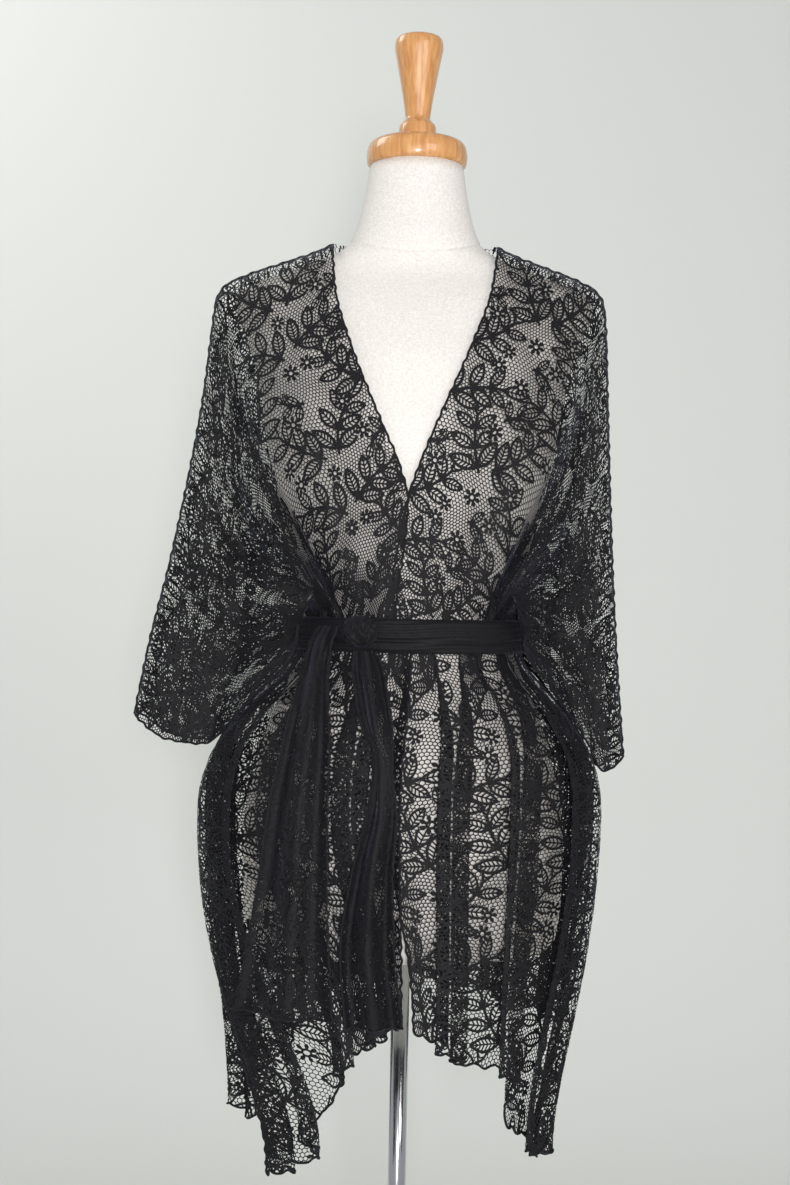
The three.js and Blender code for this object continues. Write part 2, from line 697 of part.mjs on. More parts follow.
// Wall between a grid of points and the same grid moved out, closed round its four edges.
function wallFrom(grid, normals, thickness, outSign, name, material) {
  const across = grid.length;
  const down = grid[0].length;
  const lastI = across - 1;
  const lastJ = down - 1;
  const inner = grid.flat();
  const outer = grid.flatMap((column, i) => column.map((point, j) => (
    point.clone().addScaledVector(normals[i][j], thickness))));
  const index = (layer, i, j) => layer * across * down + i * down + j;
  const faces = [];
  const quad = (a, b, c, d) => {
    faces.push(outSign > 0 ? [a, b, c] : [a, c, b]);
    faces.push(outSign > 0 ? [a, c, d] : [a, d, c]);
  };
  for (let i = 0; i < lastI; i += 1) {
    for (let j = 0; j < lastJ; j += 1) {
      quad(index(1, i, j), index(1, i + 1, j), index(1, i + 1, j + 1), index(1, i, j + 1));
      quad(index(0, i, j), index(0, i, j + 1), index(0, i + 1, j + 1), index(0, i + 1, j));
    }
  }
  for (let i = 0; i < lastI; i += 1) {
    quad(index(0, i, 0), index(0, i + 1, 0), index(1, i + 1, 0), index(1, i, 0));
    quad(index(1, i, lastJ), index(1, i + 1, lastJ), index(0, i + 1, lastJ), index(0, i, lastJ));
  }
  for (let j = 0; j < lastJ; j += 1) {
    quad(index(1, 0, j), index(1, 0, j + 1), index(0, 0, j + 1), index(0, 0, j));
    quad(index(0, lastI, j), index(0, lastI, j + 1), index(1, lastI, j + 1), index(1, lastI, j));
  }
  return solidFrom([...inner, ...outer], faces, name, material);
}

// Normals above the sash: along the shoulder seam they stay in the seam's plane, so that the front
// and the back keep their gap.
function upperNormals(grid, outSign) {
  const normals = gridNormals(grid, outSign);
  grid.forEach((column, i) => {
    if (Math.abs(column[0].y) <= SEAM_GAP) {
      normals[i][0].setY(0).normalize();
    }
  });
  return normals;
}

function frontUpper(side, name, material) {
  const sign = side === "right" ? 1 : -1;
  const half = upperHalf(side, lineDown(FRONT_EDGE[side]), frontNeckLine);
  const grid = sharesAcross(half.turnShare).map((across) => (
    upperColumn(half, "front", sign, FRONT_CREASES[side], across, FRONT_LAP[side])));
  return wallFrom(grid, upperNormals(grid, -sign), LACE_WALL, -sign, name, material);
}

function backUpper(name, material) {
  const middle = lineDown(BACK_MIDDLE);
  const halfColumns = (side, sign) => {
    const half = upperHalf(side, middle, backNeckLine);
    return sharesAcross(half.turnShare).map((across) => (
      upperColumn(half, "back", sign, BACK_CREASES, across, 0)));
  };
  const right = halfColumns("right", 1);
  const left = halfColumns("left", -1);
  const grid = [...left.slice(1).reverse(), ...right];
  return wallFrom(grid, upperNormals(grid, 1), LACE_WALL, 1, name, material);
}

function frontSkirt(side, name, material) {
  const sign = side === "right" ? 1 : -1;
  const grid = skirtGrid("front", sign, SKIRT_EDGES[side], FRONT_PLEATS[side], HEM_FALL[side]);
  return wallFrom(grid, gridNormals(grid, -sign), LACE_WALL, -sign, name, material);
}

function backSkirt(name, material) {
  const grid = skirtGrid("back", 1, SKIRT_EDGES.back, BACK_PLEATS, HEM_FALL.back);
  return wallFrom(grid, gridNormals(grid, 1), LACE_WALL, 1, name, material);
}

// Solid skin over closed rings of points, with a flat cap on both ends.
function loft(rings, name, material) {
  const steps = rings[0].length;
  const points = rings.flat();
  const faces = [];
  for (let k = 0; k < rings.length - 1; k += 1) {
    for (let i = 0; i < steps; i += 1) {
      const next = (i + 1) % steps;
      faces.push([k * steps + i, k * steps + next, (k + 1) * steps + next]);
      faces.push([k * steps + i, (k + 1) * steps + next, (k + 1) * steps + i]);
    }
  }
  const sumOf = (ring) => ring.reduce((sum, point) => sum.add(point), new THREE.Vector3());
  const middle = (ring) => sumOf(ring).divideScalar(steps);
  const foot = points.push(middle(rings[0])) - 1;
  const head = points.push(middle(rings[rings.length - 1])) - 1;
  const lastRing = (rings.length - 1) * steps;
  for (let i = 0; i < steps; i += 1) {
    const next = (i + 1) % steps;
    faces.push([foot, next, i]);
    faces.push([head, lastRing + i, lastRing + next]);
  }
  return solidFrom(points, faces, name, material);
}

// Turned solid from an outline of radii and heights.
function turned(outline, name, material) {
  const rings = outline.map((row) => {
    const ring = [];
    for (let i = 0; i < LATHE_STEPS; i += 1) {
      const angle = (2 * Math.PI * i) / LATHE_STEPS;
      ring.push(new THREE.Vector3(row.radius * Math.cos(angle), row.radius * Math.sin(angle), row.z));
    }
    return ring;
  });
  return loft(rings, name, material);
}

function torso(name, material) {
  const rings = FORM_SECTIONS.map((row) => {
    const ring = [];
    for (let i = 0; i < RING_STEPS; i += 1) {
      const angle = (2 * Math.PI * i) / RING_STEPS;
      const depth = Math.sin(angle) < 0 ? row.front : row.back;
      ring.push(new THREE.Vector3(row.halfWidth * Math.cos(angle), depth * Math.sin(angle), row.z));
    }
    return ring;
  });
  return loft(rings, name, material);
}

// Band round the waist, its section swept along an ellipse.
function sashBand(name, material) {
  const profile = [
    ...BAND_PROFILE,
    { rise: BAND_PROFILE[BAND_PROFILE.length - 1].rise, thick: 0 },
    { rise: BAND_PROFILE[0].rise, thick: 0 },
  ];
  const corners = profile.length;
  const points = [];
  for (let i = 0; i < RING_STEPS; i += 1) {
    const angle = (2 * Math.PI * i) / RING_STEPS;
    const formDepth = Math.sin(angle) < 0 ? form.front(WAIST_Z) : form.back(WAIST_Z);
    profile.forEach((corner) => {
      const out = BAND_CLEARANCE + corner.thick;
      const x = (form.halfWidth(WAIST_Z) + out) * Math.cos(angle);
      const y = (formDepth + out) * Math.sin(angle);
      points.push(new THREE.Vector3(x, y, WAIST_Z + corner.rise));
    });
  }
  const faces = [];
  for (let i = 0; i < RING_STEPS; i += 1) {
    const next = (i + 1) % RING_STEPS;
    for (let k = 0; k < corners; k += 1) {
      const up = (k + 1) % corners;
      faces.push([i * corners + k, next * corners + k, next * corners + up]);
      faces.push([i * corners + k, next * corners + up, i * corners + up]);
    }
  }
  return solidFrom(points, faces, name, material);
}

// Depth of the outer face of the band at a distance to the side of the middle front.
function bandFront(x) {
  const out = BAND_CLEARANCE + BAND_THICKEST;
  return ellipseDepth(x, form.halfWidth(WAIST_Z) + out, form.front(WAIST_Z) + out);
}

// Knot: a rounded lump against the band, with the ridges of the gathered sash running over it.
function sashKnot(name, material) {
  const rings = [];
  for (let k = 1; k < KNOT_LEVELS; k += 1) {
    const rise = -Math.cos((Math.PI * k) / KNOT_LEVELS);
    const girth = Math.sqrt(1 - rise * rise);
    const ring = [];
    for (let i = 0; i < KNOT_STEPS; i += 1) {
      const angle = (2 * Math.PI * i) / KNOT_STEPS;
      const ridge = 1 + (KNOT.ridgeHeight / KNOT.depth) * Math.cos(KNOT.ridges * 2 * angle);
      const x = KNOT.x + 0.5 * KNOT.width * girth * ridge * Math.cos(angle);
      const lobe = KNOT.depth * girth * ridge * Math.max(-Math.sin(angle), 0);
      const z = WAIST_Z + KNOT.lift + 0.5 * KNOT.height * rise;
      ring.push(new THREE.Vector3(x, -bandFront(x) - SEAM_GAP - lobe, z));
    }
    rings.push(ring);
  }
  return loft(rings, name, material);
}

// Sash end as a wall: each level is a folded strip, turned about the sash end's own length.
function sashTail(side, name, material) {
  const table = SASH_TAILS[side];
  const lowestFirst = [...table].reverse();
  const value = (column) => columnCurve(lowestFirst, "z", column);
  const middleX = value("x");
  const width = value("width");
  const fold = value("fold");
  const turn = value("turn");
  const out = value("out");
  const grid = [];
  for (let i = 0; i <= TAIL_COLUMNS; i += 1) {
    const across = i / TAIL_COLUMNS - 0.5;
    const column = [];
    for (let j = 0; j <= TAIL_ROWS; j += 1) {
      const z = lerp(table[0].z, table[table.length - 1].z, j / TAIL_ROWS);
      const angle = THREE.MathUtils.degToRad(turn(z));
      const flat = across * width(z);
      const wave = fold(z) * Math.cos(2 * Math.PI * TAIL_WAVES * across);
      const x = middleX(z) + flat * Math.cos(angle) - wave * Math.sin(angle);
      const forward = out(z) + flat * Math.sin(angle) + wave * Math.cos(angle);
      const near = ellipseDepth(x - skirt.middle(z), skirt.halfWidth(z), skirt.front(z));
      column.push(new THREE.Vector3(x, -near - forward, z));
    }
    grid.push(column);
  }
  return wallFrom(grid, gridNormals(grid, -1), TAIL_WALL, -1, name, material);
}

function pole(name, material) {
  const outline = [
    { radius: POLE_RADIUS, z: BASE_HEIGHT + SEAM_GAP },
    { radius: POLE_RADIUS, z: FORM_SECTIONS[0].z - SEAM_GAP },
  ];
  return turned(outline, name, material);
}

function basePlate(name, material) {
  const outline = [
    { radius: BASE_RADIUS, z: 0 },
    { radius: BASE_RADIUS, z: BASE_EDGE },
    { radius: BASE_RADIUS - BASE_BEVEL.in, z: BASE_EDGE + BASE_BEVEL.up },
    { radius: BASE_BOSS_RADIUS, z: BASE_HEIGHT },
  ];
  return turned(outline, name, material);
}

function standard(color, roughness, metalness) {
  return new THREE.MeshStandardMaterial({ color, roughness, metalness });
}

const lace = standard(0x17161c, 0.85, 0);
const linen = standard(0xe9e4de, 0.9, 0);
const wood = standard(0xd09556, 0.3, 0);
const chrome = standard(0xc9ccd0, 0.15, 1);

const part = new THREE.Group();
part.name = "lace_shawl_on_dress_form";
part.add(
  basePlate("base_plate", chrome),
  pole("pole", chrome),
  torso("torso", linen),
  turned(CAP_OUTLINE, "neck_cap", wood),
  turned(FINIAL_OUTLINE, "finial", wood),
  frontUpper("right", "shawl_front_right", lace),
  frontUpper("left", "shawl_front_left", lace),
  backUpper("shawl_back", lace),
  frontSkirt("right", "skirt_front_right", lace),
  frontSkirt("left", "skirt_front_left", lace),
  backSkirt("skirt_back", lace),
  sashBand("sash_band", lace),
  sashKnot("sash_knot", lace),
  sashTail("left", "sash_tail_left", lace),
  sashTail("right", "sash_tail_right", lace),
);

export default part;
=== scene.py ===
# %% [markdown]
# # A lace shawl on a dress form
# The shawl is one length of black floral lace with a slit up the front. It hangs over the
# shoulders of a linen dress form, a lace sash gathers it at the waist, and the cloth beyond the
# shoulders falls in two open wings. This lesson builds the lace as real thread, with real holes,
# because light that passes through lace and falls on the linen behind it is most of what one sees.
# A see-through texture on a plain sheet would be quicker, but it would leave no lace in the mesh.

# %% Frame and units
import math

import bpy
import numpy as np
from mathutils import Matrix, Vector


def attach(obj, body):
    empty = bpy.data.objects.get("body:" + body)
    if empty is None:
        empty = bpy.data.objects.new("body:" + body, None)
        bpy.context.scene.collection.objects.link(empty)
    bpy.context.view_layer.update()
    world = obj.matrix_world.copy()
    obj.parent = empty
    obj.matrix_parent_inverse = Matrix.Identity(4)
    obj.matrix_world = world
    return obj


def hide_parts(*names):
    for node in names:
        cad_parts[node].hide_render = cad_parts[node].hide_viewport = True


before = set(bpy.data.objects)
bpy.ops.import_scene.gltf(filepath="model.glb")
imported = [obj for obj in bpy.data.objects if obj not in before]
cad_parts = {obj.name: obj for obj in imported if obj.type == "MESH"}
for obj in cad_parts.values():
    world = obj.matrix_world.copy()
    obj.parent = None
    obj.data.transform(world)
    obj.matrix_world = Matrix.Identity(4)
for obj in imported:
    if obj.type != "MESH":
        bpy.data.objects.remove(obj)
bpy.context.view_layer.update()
METRE = 0.001  # every size below is in millimetres, and meshes are in metres
print("nodes", sorted(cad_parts))

# %% [markdown]
# ## Smooth curves through short tables
# A dressmaker's form is described by its girth at a few levels. The tables below do the same, and a
# curve that never swings past its rows joins them. Blender has curve objects for this, but a formula
# can be asked for a hundred thousand places at once, which the lace needs.


# %% Curve helpers
def smooth_step(start, end, value):
    """Goes from 0 at start to 1 at end and is level at both: s * s * (3 - 2 * s)."""
    s = np.clip((value - start) / (end - start), 0, 1)
    return s * s * (3 - 2 * s)


def row_slopes(at, values):
    """Slopes for a curve through each row of values: the harmonic mean of the two neighbouring
    secants, or zero where the values turn back."""
    secant = np.diff(values, axis=-1) / np.diff(at)
    before, after = secant[..., :-1], secant[..., 1:]
    rising = before * after > 0
    mean = 2 * before * after / np.where(rising, before + after, 1)
    inner = np.where(rising, mean, 0)
    return np.concatenate([secant[..., :1], inner, secant[..., -1:]], axis=-1)


def cubic_between(at, i, place, low, high, slope_low, slope_high):
    """Cubic from low to high in step i of a table, with the given slopes at both ends."""
    step = at[i + 1] - at[i]
    s = (place - at[i]) / step
    level = (1 + 2 * s) * (1 - s) ** 2 * low + s * s * (3 - 2 * s) * high
    return level + s * (1 - s) * step * ((1 - s) * slope_low - s * slope_high)


def smooth_curve(table, key, column):
    """Curve through one column of a table against another, held at its two ends."""
    at, value = table[:, key], table[:, column]
    slope = row_slopes(at, value)

    def curve(place):
        held = np.clip(place, at[0], at[-1])
        i = np.clip(np.searchsorted(at, held) - 1, 0, len(at) - 2)
        return cubic_between(at, i, held, value[i], value[i + 1], slope[i], slope[i + 1])

    return curve


# %% [markdown]
# ## The dress form and the cloth round it, in numbers
# These tables are the sizes of the real thing in millimetres: the form's girth at each level, the
# cloth's girth below the sash, and the lines along which the cloth hangs above it.

# %% Tables of the form
NECK_TOP = 1462
WAIST = 973
FORM_BOTTOM = 648
SEAM_GAP = 0.3

# Level, half width, depth to the front, depth to the back
FORM = np.array([
    (648, 152, 100, 104), (656, 160, 107, 112), (700, 166, 113, 120), (765, 167, 115, 124),
    (870, 146, 103, 110), (973, 110, 86, 80), (1080, 130, 102, 86), (1160, 149, 123, 92),
    (1240, 162, 109, 97), (1285, 178, 90, 97), (1312, 188, 76, 91), (1326, 184, 67, 84),
    (1336, 168, 60, 77), (1348, 136, 55, 72), (1360, 103, 54, 67), (1371, 79, 55, 63),
    (1381, 69, 55, 60), (1403, 60, 52, 55), (1435, 53, 49, 50), (NECK_TOP, 49, 47, 47),
], float)
form_width = smooth_curve(FORM, 0, 1)
form_depth = {"front": smooth_curve(FORM, 0, 2), "back": smooth_curve(FORM, 0, 3)}

# Level, half width, depth to the front, depth to the back, and the middle's place to the side
SKIRT = np.array([
    (430, 192, 134, 142, -5), (650, 196, 130, 139, -5), (730, 199, 126, 136, -5),
    (800, 202, 121, 129, -5), (845, 196, 115, 122, -4), (890, 172, 108, 113, -2),
    (950, 121, 94, 89, 0), (973, 116, 92, 86, 0),
], float)
skirt_width = smooth_curve(SKIRT, 0, 1)
skirt_depth = {"front": smooth_curve(SKIRT, 0, 2), "back": smooth_curve(SKIRT, 0, 3)}
skirt_middle = smooth_curve(SKIRT, 0, 4)
print("form width at the waist", 2 * form_width(WAIST), "mm")

# %% Tables of the cloth above the sash
# Outer edge of each wing: level, reach to the side
WING_EDGE = {
    "right": np.array([
        (850, 228), (945, 220), (1050, 213), (1218, 205), (1290, 202), (1320, 199),
        (1334, 192), (1346, 171), (1358, 139), (1370, 106), (1379, 86),
    ], float),
    "left": np.array([
        (885, 284), (960, 270), (1050, 249), (1218, 219), (1290, 211), (1320, 207),
        (1334, 198), (1346, 174), (1358, 140), (1370, 106), (1379, 86),
    ], float),
}
# Lines down the cloth: share of the way, distance to the side, level
FRONT_EDGE = {
    "right": np.array([
        (0, 86, 1379), (0.15, 77, 1320), (0.3, 57, 1262), (0.5, 24, 1183), (0.62, 6, 1137),
        (0.7, -4, 1106), (1, -22, 995),
    ], float),
    "left": np.array([
        (0, 86, 1379), (0.15, 80, 1320), (0.3, 63, 1262), (0.5, 31, 1183), (0.62, 11, 1137),
        (0.7, 3, 1106), (1, 14, 995),
    ], float),
}
TURN_LINE = {
    "right": np.array([(0, 198, 1322), (0.4, 158, 1188), (0.75, 104, 1068), (1, 76, 995)], float),
    "left": np.array([(0, 206, 1322), (0.4, 163, 1188), (0.75, 102, 1068), (1, 66, 995)], float),
}
HEM_LINE = {
    "right": np.array([
        (0, 228, 850), (0.15, 206, 836), (0.35, 186, 868), (0.6, 146, 922), (0.78, 118, 962),
        (0.9, 116, 1001), (1, 110, 995),
    ], float),
    "left": np.array([
        (0, 284, 885), (0.2, 246, 860), (0.4, 210, 856), (0.62, 158, 906), (0.8, 112, 962),
        (0.91, 110, 1001), (1, 104, 995),
    ], float),
}
BACK_MIDDLE = np.array([(0, 0, 1396), (0.4, 0, 1238), (0.75, 0, 1090), (1, 0, 995)], float)
NECK_POINT = (86, 1379)
# Creases: place across the cloth, spread, height, share of the way down where it starts
CREASES = {
    "right": np.array([
        (0.1, 0.03, 6, 0.6), (0.19, 0.035, 9, 0.15), (0.29, 0.04, -8, 0.1),
        (0.42, 0.05, 11, 0.1), (0.58, 0.06, -10, 0.05), (0.75, 0.06, 12, 0.05),
        (0.9, 0.05, -6, 0.1),
    ]),
    "left": np.array([
        (0.08, 0.03, 6, 0.55), (0.17, 0.035, 8, 0.2), (0.27, 0.04, -9, 0.1),
        (0.38, 0.05, 10, 0.1), (0.52, 0.05, -11, 0.05), (0.67, 0.06, 13, 0.05),
        (0.85, 0.06, -8, 0.1),
    ]),
    "back": np.array([
        (0.07, 0.04, 7, 0.45), (0.17, 0.04, 9, 0.35), (0.26, 0.035, -6, 0.3),
        (0.35, 0.04, 10, 0.15), (0.5, 0.05, -10, 0.05), (0.66, 0.06, 12, 0.05),
        (0.84, 0.06, -8, 0.1),
    ]),
}
LACE_WALL = 1.2
FORM_CLEARANCE = 6
SHOULDER_LIFT = 4
WING_BRIDGE = 0.35
WING_BLOUSE = 10
WING_EDGE_RADIUS = 26
BLEND_RADIUS = 22
FRONT_LAP = {"right": 0, "left": 3}
DROP_START = 0.94  # share of the way down where the cloth goes in under the sash
BRIDGE_END = 0.85  # share of the way down from which the wing joins the chest
BLOUSE_SPREAD = 0.3
BLOUSE_START, BLOUSE_FULL, BLOUSE_FADE = 0.45, 0.75, 0.9
SASH_PRESS, PRESS_START = 0.85, 0.75  # share of a crease's height that the sash presses out
CREASE_RUN = 0.35
LAP_START, LAP_FULL, LAP_SPREAD = 0.35, 0.7, 0.3

# %% Tables of the cloth below the sash
# Pleats: angles of the two edges of the face at the sash, the hip and the hem, and its height
PLEATS = {
    "right": np.array([
        (13, 25, 10, 19, 11, 20, 13), (35, 48, 31, 41, 30, 37, 15), (55, 65, 55, 76, 40, 51, 14),
    ]),
    "left": np.array([
        (8, 20, 9, 19, 2.5, 8, 11), (30, 42, 31, 43, 11.5, 17, 12), (52, 63, 53, 74, 20.5, 37.5, 16),
    ]),
    "back": np.array([
        (-66, -55, -74, -58, -62, -48, 15), (-42, -30, -45, -34, -40, -30, 14),
        (-19, -8, -20, -10, -21, -11, 13), (7, 18, 6, 16, 5, 15, 14), (31, 42, 30, 41, 28, 38, 13),
        (54, 65, 56, 73, 50, 66, 15),
    ]),
}
TUCK_SHARE = 0.48  # the cloth tucked under both edges nearly meets behind the face
# Free edges: angles at the sash, the hip and the hem, and height, one row for each edge
SKIRT_EDGES = {
    "right": np.array([(0, -3.5, 5, 0), (80, 84, 45, 0)], float),
    "left": np.array([(-1.5, 0, -1.5, 12), (80, 84, 40, 0)], float),
    "back": np.array([(-82, -87, -52, 0), (82, 87, 58, 0)], float),
}
# Fall from the waist to the hem: share of the cloth's width, fall
HEM_FALL = {
    "right": np.array([(0, 380), (0.3, 412), (0.48, 428), (0.58, 478), (0.8, 502), (1, 512)], float),
    "left": np.array([(0, 374), (0.3, 398), (0.55, 428), (0.68, 488), (0.9, 520), (1, 530)], float),
    "back": np.array([
        (0, 536), (0.12, 505), (0.3, 415), (0.5, 384), (0.7, 398), (0.88, 412), (1, 404),
    ], float),
}
HIP_SHARE = 0.42
HIP_LEVEL = 800

# %% [markdown]
# ## The hang of the cloth above the sash
# Each half is a patch between four lines, as a pattern cutter would pin it: the shoulder and the
# wing's edge above, the slit or the middle of the back, the hem, and the sash below. A patch between
# four lines is a Coons patch: blend the two long sides, blend the two short sides, add both and take
# away the blend of the corners. Its depth then comes from the form. Creases are soft ridges and
# troughs on top.


# %% Cloth above the sash
def line_down(table):
    """Line on the cloth as a function of the share of the way: two smooth curves, side and level."""
    side, level = smooth_curve(table, 0, 1), smooth_curve(table, 0, 2)
    return lambda way: np.stack([side(way), level(way)], axis=-1)


def even_along(points):
    """Places at equal shares of the length of a line of points, and that length."""
    steps = np.linalg.norm(np.diff(points, axis=0), axis=1)
    travelled = np.concatenate([[0], np.cumsum(steps)])

    def at(share):
        wanted = share * travelled[-1]
        return np.stack([np.interp(wanted, travelled, points[:, k]) for k in range(2)], axis=-1)

    return at, travelled[-1]


def patch(top, bottom, start, end, across, way):
    """Coons patch: both blends of opposite lines, less the blend of the four corners."""
    u, v = across[..., None], way[..., None]
    sides = (1 - v) * top(across) + v * bottom(across) + (1 - u) * start(way) + u * end(way)
    first, last = np.zeros_like(across), np.ones_like(across)
    corners = (1 - u) * (1 - v) * top(first) + u * (1 - v) * top(last)
    return sides - corners - (1 - u) * v * bottom(first) - u * v * bottom(last)


def ellipse_depth(x, half_width, depth):
    """Depth of an ellipse at a distance to the side of its middle."""
    share = np.minimum(np.abs(x) / half_width, 1)
    return depth * np.sqrt(1 - share * share)


def soft_max(a, b, radius):
    """The larger of two values, with the corner between them rounded off."""
    overlap = np.maximum(radius - np.abs(a - b), 0) / radius
    return np.maximum(a, b) + 0.25 * overlap * overlap * radius


def edge_points(side, high, low):
    """Wing edge from one level down to another, as rows of side and level."""
    level = np.linspace(high, low, 161)
    return np.stack([smooth_curve(WING_EDGE[side], 0, 1)(level), level], axis=-1)


def upper_half(side, facing):
    """One half of the cloth above the sash as a function of two shares: across the cloth from the
    slit or the back's middle to the wing hem, and down from the shoulder to the sash. Side and
    level come from two patches, and depth from the form, the wing's fold and the creases."""
    reach = smooth_curve(WING_EDGE[side], 0, 1)
    first = line_down(FRONT_EDGE[side] if facing == "front" else BACK_MIDDLE)
    turn, hem = line_down(TURN_LINE[side]), line_down(HEM_LINE[side])
    tip = TURN_LINE[side][0, 2]
    neck_to_tip = edge_points(side, NECK_POINT[1], tip)
    if facing == "back":
        share = np.linspace(0, 1, 160, endpoint=False)
        level = BACK_MIDDLE[0, 2] + (NECK_POINT[1] - BACK_MIDDLE[0, 2]) * share * share
        neck = np.stack([NECK_POINT[0] * share, level], axis=-1)
        neck_to_tip = np.concatenate([neck, neck_to_tip])
    shoulder, shoulder_length = even_along(neck_to_tip)
    wing, wing_length = even_along(edge_points(side, tip, WING_EDGE[side][0, 0]))
    length = shoulder_length + wing_length
    turn_share = shoulder_length / length
    creases = CREASES[side if facing == "front" else "back"]
    sign = 1 if side == "right" else -1
    toward = -1 if facing == "front" else 1
    one = np.array(1.0)

    def between(start, end):
        return lambda across: start(one) + across[..., None] * (end(one) - start(one))

    def place_at(across, way):
        in_chest = np.clip(across / turn_share, 0, 1)
        in_wing = np.clip((across - turn_share) / (1 - turn_share), 0, 1)
        chest = patch(shoulder, between(first, turn), first, turn, in_chest, way)
        beyond = patch(wing, between(turn, hem), turn, hem, in_wing, way)
        return np.where((across <= turn_share)[..., None], chest, beyond)

    def surface(across, down):
        way = np.minimum(down / DROP_START, 1)
        drop = np.clip((down - DROP_START) / (1 - DROP_START), 0, 1)
        place = place_at(across, way)
        x, z = place[..., 0], place[..., 1]
        top = place_at(across, np.zeros_like(way))
        form_level = z - SHOULDER_LIFT
        body_width = form_width(form_level) + FORM_CLEARANCE
        body_depth = form_depth[facing](form_level) + FORM_CLEARANCE
        spare = np.maximum(reach(z) - body_width, 0)
        bridge = WING_BRIDGE * spare * (1 - smooth_step(BRIDGE_END, 1, way))
        chest = ellipse_depth(x, body_width + bridge, body_depth)
        from_edge = np.minimum(np.linalg.norm(place - top, axis=-1) / WING_EDGE_RADIUS, 1)
        fold = WING_EDGE_RADIUS * np.sqrt(1 - (1 - from_edge) ** 2)
        in_wing = smooth_step(turn_share, turn_share + BLOUSE_SPREAD, across)
        swell = in_wing * smooth_step(BLOUSE_START, BLOUSE_FULL, way)
        depth = soft_max(chest, fold, BLEND_RADIUS * from_edge + 0.001)
        depth = depth + WING_BLOUSE * swell * (1 - smooth_step(BLOUSE_FADE, 1, way))
        pressed = 1 - SASH_PRESS * smooth_step(PRESS_START, 1, way)
        for at, spread, height, start in creases:
            bump = np.exp(-(((across - at) / spread) ** 2))
            depth = depth + height * bump * smooth_step(start, start + CREASE_RUN, way) * pressed
        lap = FRONT_LAP[side] * smooth_step(LAP_START, LAP_FULL, way)
        lap = lap * (1 - smooth_step(0, LAP_SPREAD, across))
        lap = lap if facing == "front" else 0
        y = toward * (SEAM_GAP / 2 + np.maximum(depth, 0) + lap)
        return np.stack([sign * x, y, z + drop * (WAIST - z)], axis=-1)

    return surface, length


def whole_back():
    """Cloth above the sash at the back: the left half turned round, then the right half."""
    left, left_length = upper_half("left", "back")
    right, right_length = upper_half("right", "back")
    length = left_length + right_length

    def surface(across, way):
        place = across * length - left_length
        on_left = left(np.clip(-place / left_length, 0, 1), way)
        on_right = right(np.clip(place / right_length, 0, 1), way)
        return np.where((place < 0)[..., None], on_left, on_right)

    return surface, length


# %% [markdown]
# ## The pleats below the sash
# A pleat is a face of cloth that stands off the form, with cloth tucked back under both of its
# edges. Every pleat gives eight fold lines that run from the sash to the hem, and a smooth curve from
# fold line to fold line is the cloth's section. Simulated cloth would fold by itself, but not in the
# places where these pleats fall.


# %% Cloth below the sash
FACE_EDGE_RISE = 0.88
HALF_TUCK_RISE = 0.5
TUCK_RISE = 0.1
TUCK_OPEN_START, TUCK_OPEN_END = 0.02, 0.3
CLOSED_RISE = 0.2  # share of a pleat's height at the sash, where it is held shut
SCALLOP_DEPTH, SCALLOP_WIDTH, SCALLOP_START = 4.0, 23.0, 0.96


def fold_lines(which):
    """Fold lines from edge to edge. Columns: own angles at sash, hip and hem, the angles it is
    tucked towards, the share tucked, and the height."""
    edges = SKIRT_EDGES[which]

    def line(own, toward, tuck, rise):
        return np.concatenate([own, toward, [tuck, rise]])

    def plain(own, rise=0.0):
        return line(own, own, 0, rise)

    lines = [plain(edges[0, :3], edges[0, 3])]
    for row in PLEATS[which]:
        start, end, rise = row[0:6:2], row[1:6:2], row[6]
        lines.append(plain((lines[-1][:3] + start) / 2))
        lines.append(line(start, end, TUCK_SHARE, TUCK_RISE * rise))
        lines.append(line(start, end, TUCK_SHARE / 2, HALF_TUCK_RISE * rise))
        lines.append(plain(start, FACE_EDGE_RISE * rise))
        lines.append(plain((start + end) / 2, rise))
        lines.append(plain(end, FACE_EDGE_RISE * rise))
        lines.append(line(end, start, TUCK_SHARE / 2, HALF_TUCK_RISE * rise))
        lines.append(line(end, start, TUCK_SHARE, TUCK_RISE * rise))
    lines.append(plain((lines[-1][:3] + edges[1, :3]) / 2))
    lines.append(plain(edges[1, :3], edges[1, 3]))
    return np.array(lines)


def fold_angles(lines, share):
    """Angle and height of every fold line at each share of the fall. Tucks open below the sash."""
    to_hip = smooth_step(0, HIP_SHARE, share)[:, None]
    to_hem = smooth_step(HIP_SHARE, 1, share)[:, None]
    open_share = smooth_step(TUCK_OPEN_START, TUCK_OPEN_END, share)[:, None]

    def angle(sash, hip, hem):
        return sash + (hip - sash) * to_hip + (hem - hip) * to_hem

    own = angle(lines[:, 0], lines[:, 1], lines[:, 2])
    toward = angle(lines[:, 3], lines[:, 4], lines[:, 5])
    turned = own + (toward - own) * lines[:, 6] * open_share
    return turned, lines[:, 7] * (CLOSED_RISE + (1 - CLOSED_RISE) * open_share)


def skirt_point(facing, sign, angle, level, out):
    """Point on an ellipse round the form at a level, moved out along the ellipse's normal."""
    turn = np.radians(angle)
    width, depth = skirt_width(level), skirt_depth[facing](level)
    normal = np.stack([np.sin(turn) / width, np.cos(turn) / depth])
    normal = normal / np.linalg.norm(normal, axis=0)
    x = skirt_middle(level) + sign * (width * np.sin(turn) + out * normal[0])
    y = (-1 if facing == "front" else 1) * (depth * np.cos(turn) + out * normal[1])
    return np.stack([x, y, level], axis=-1)


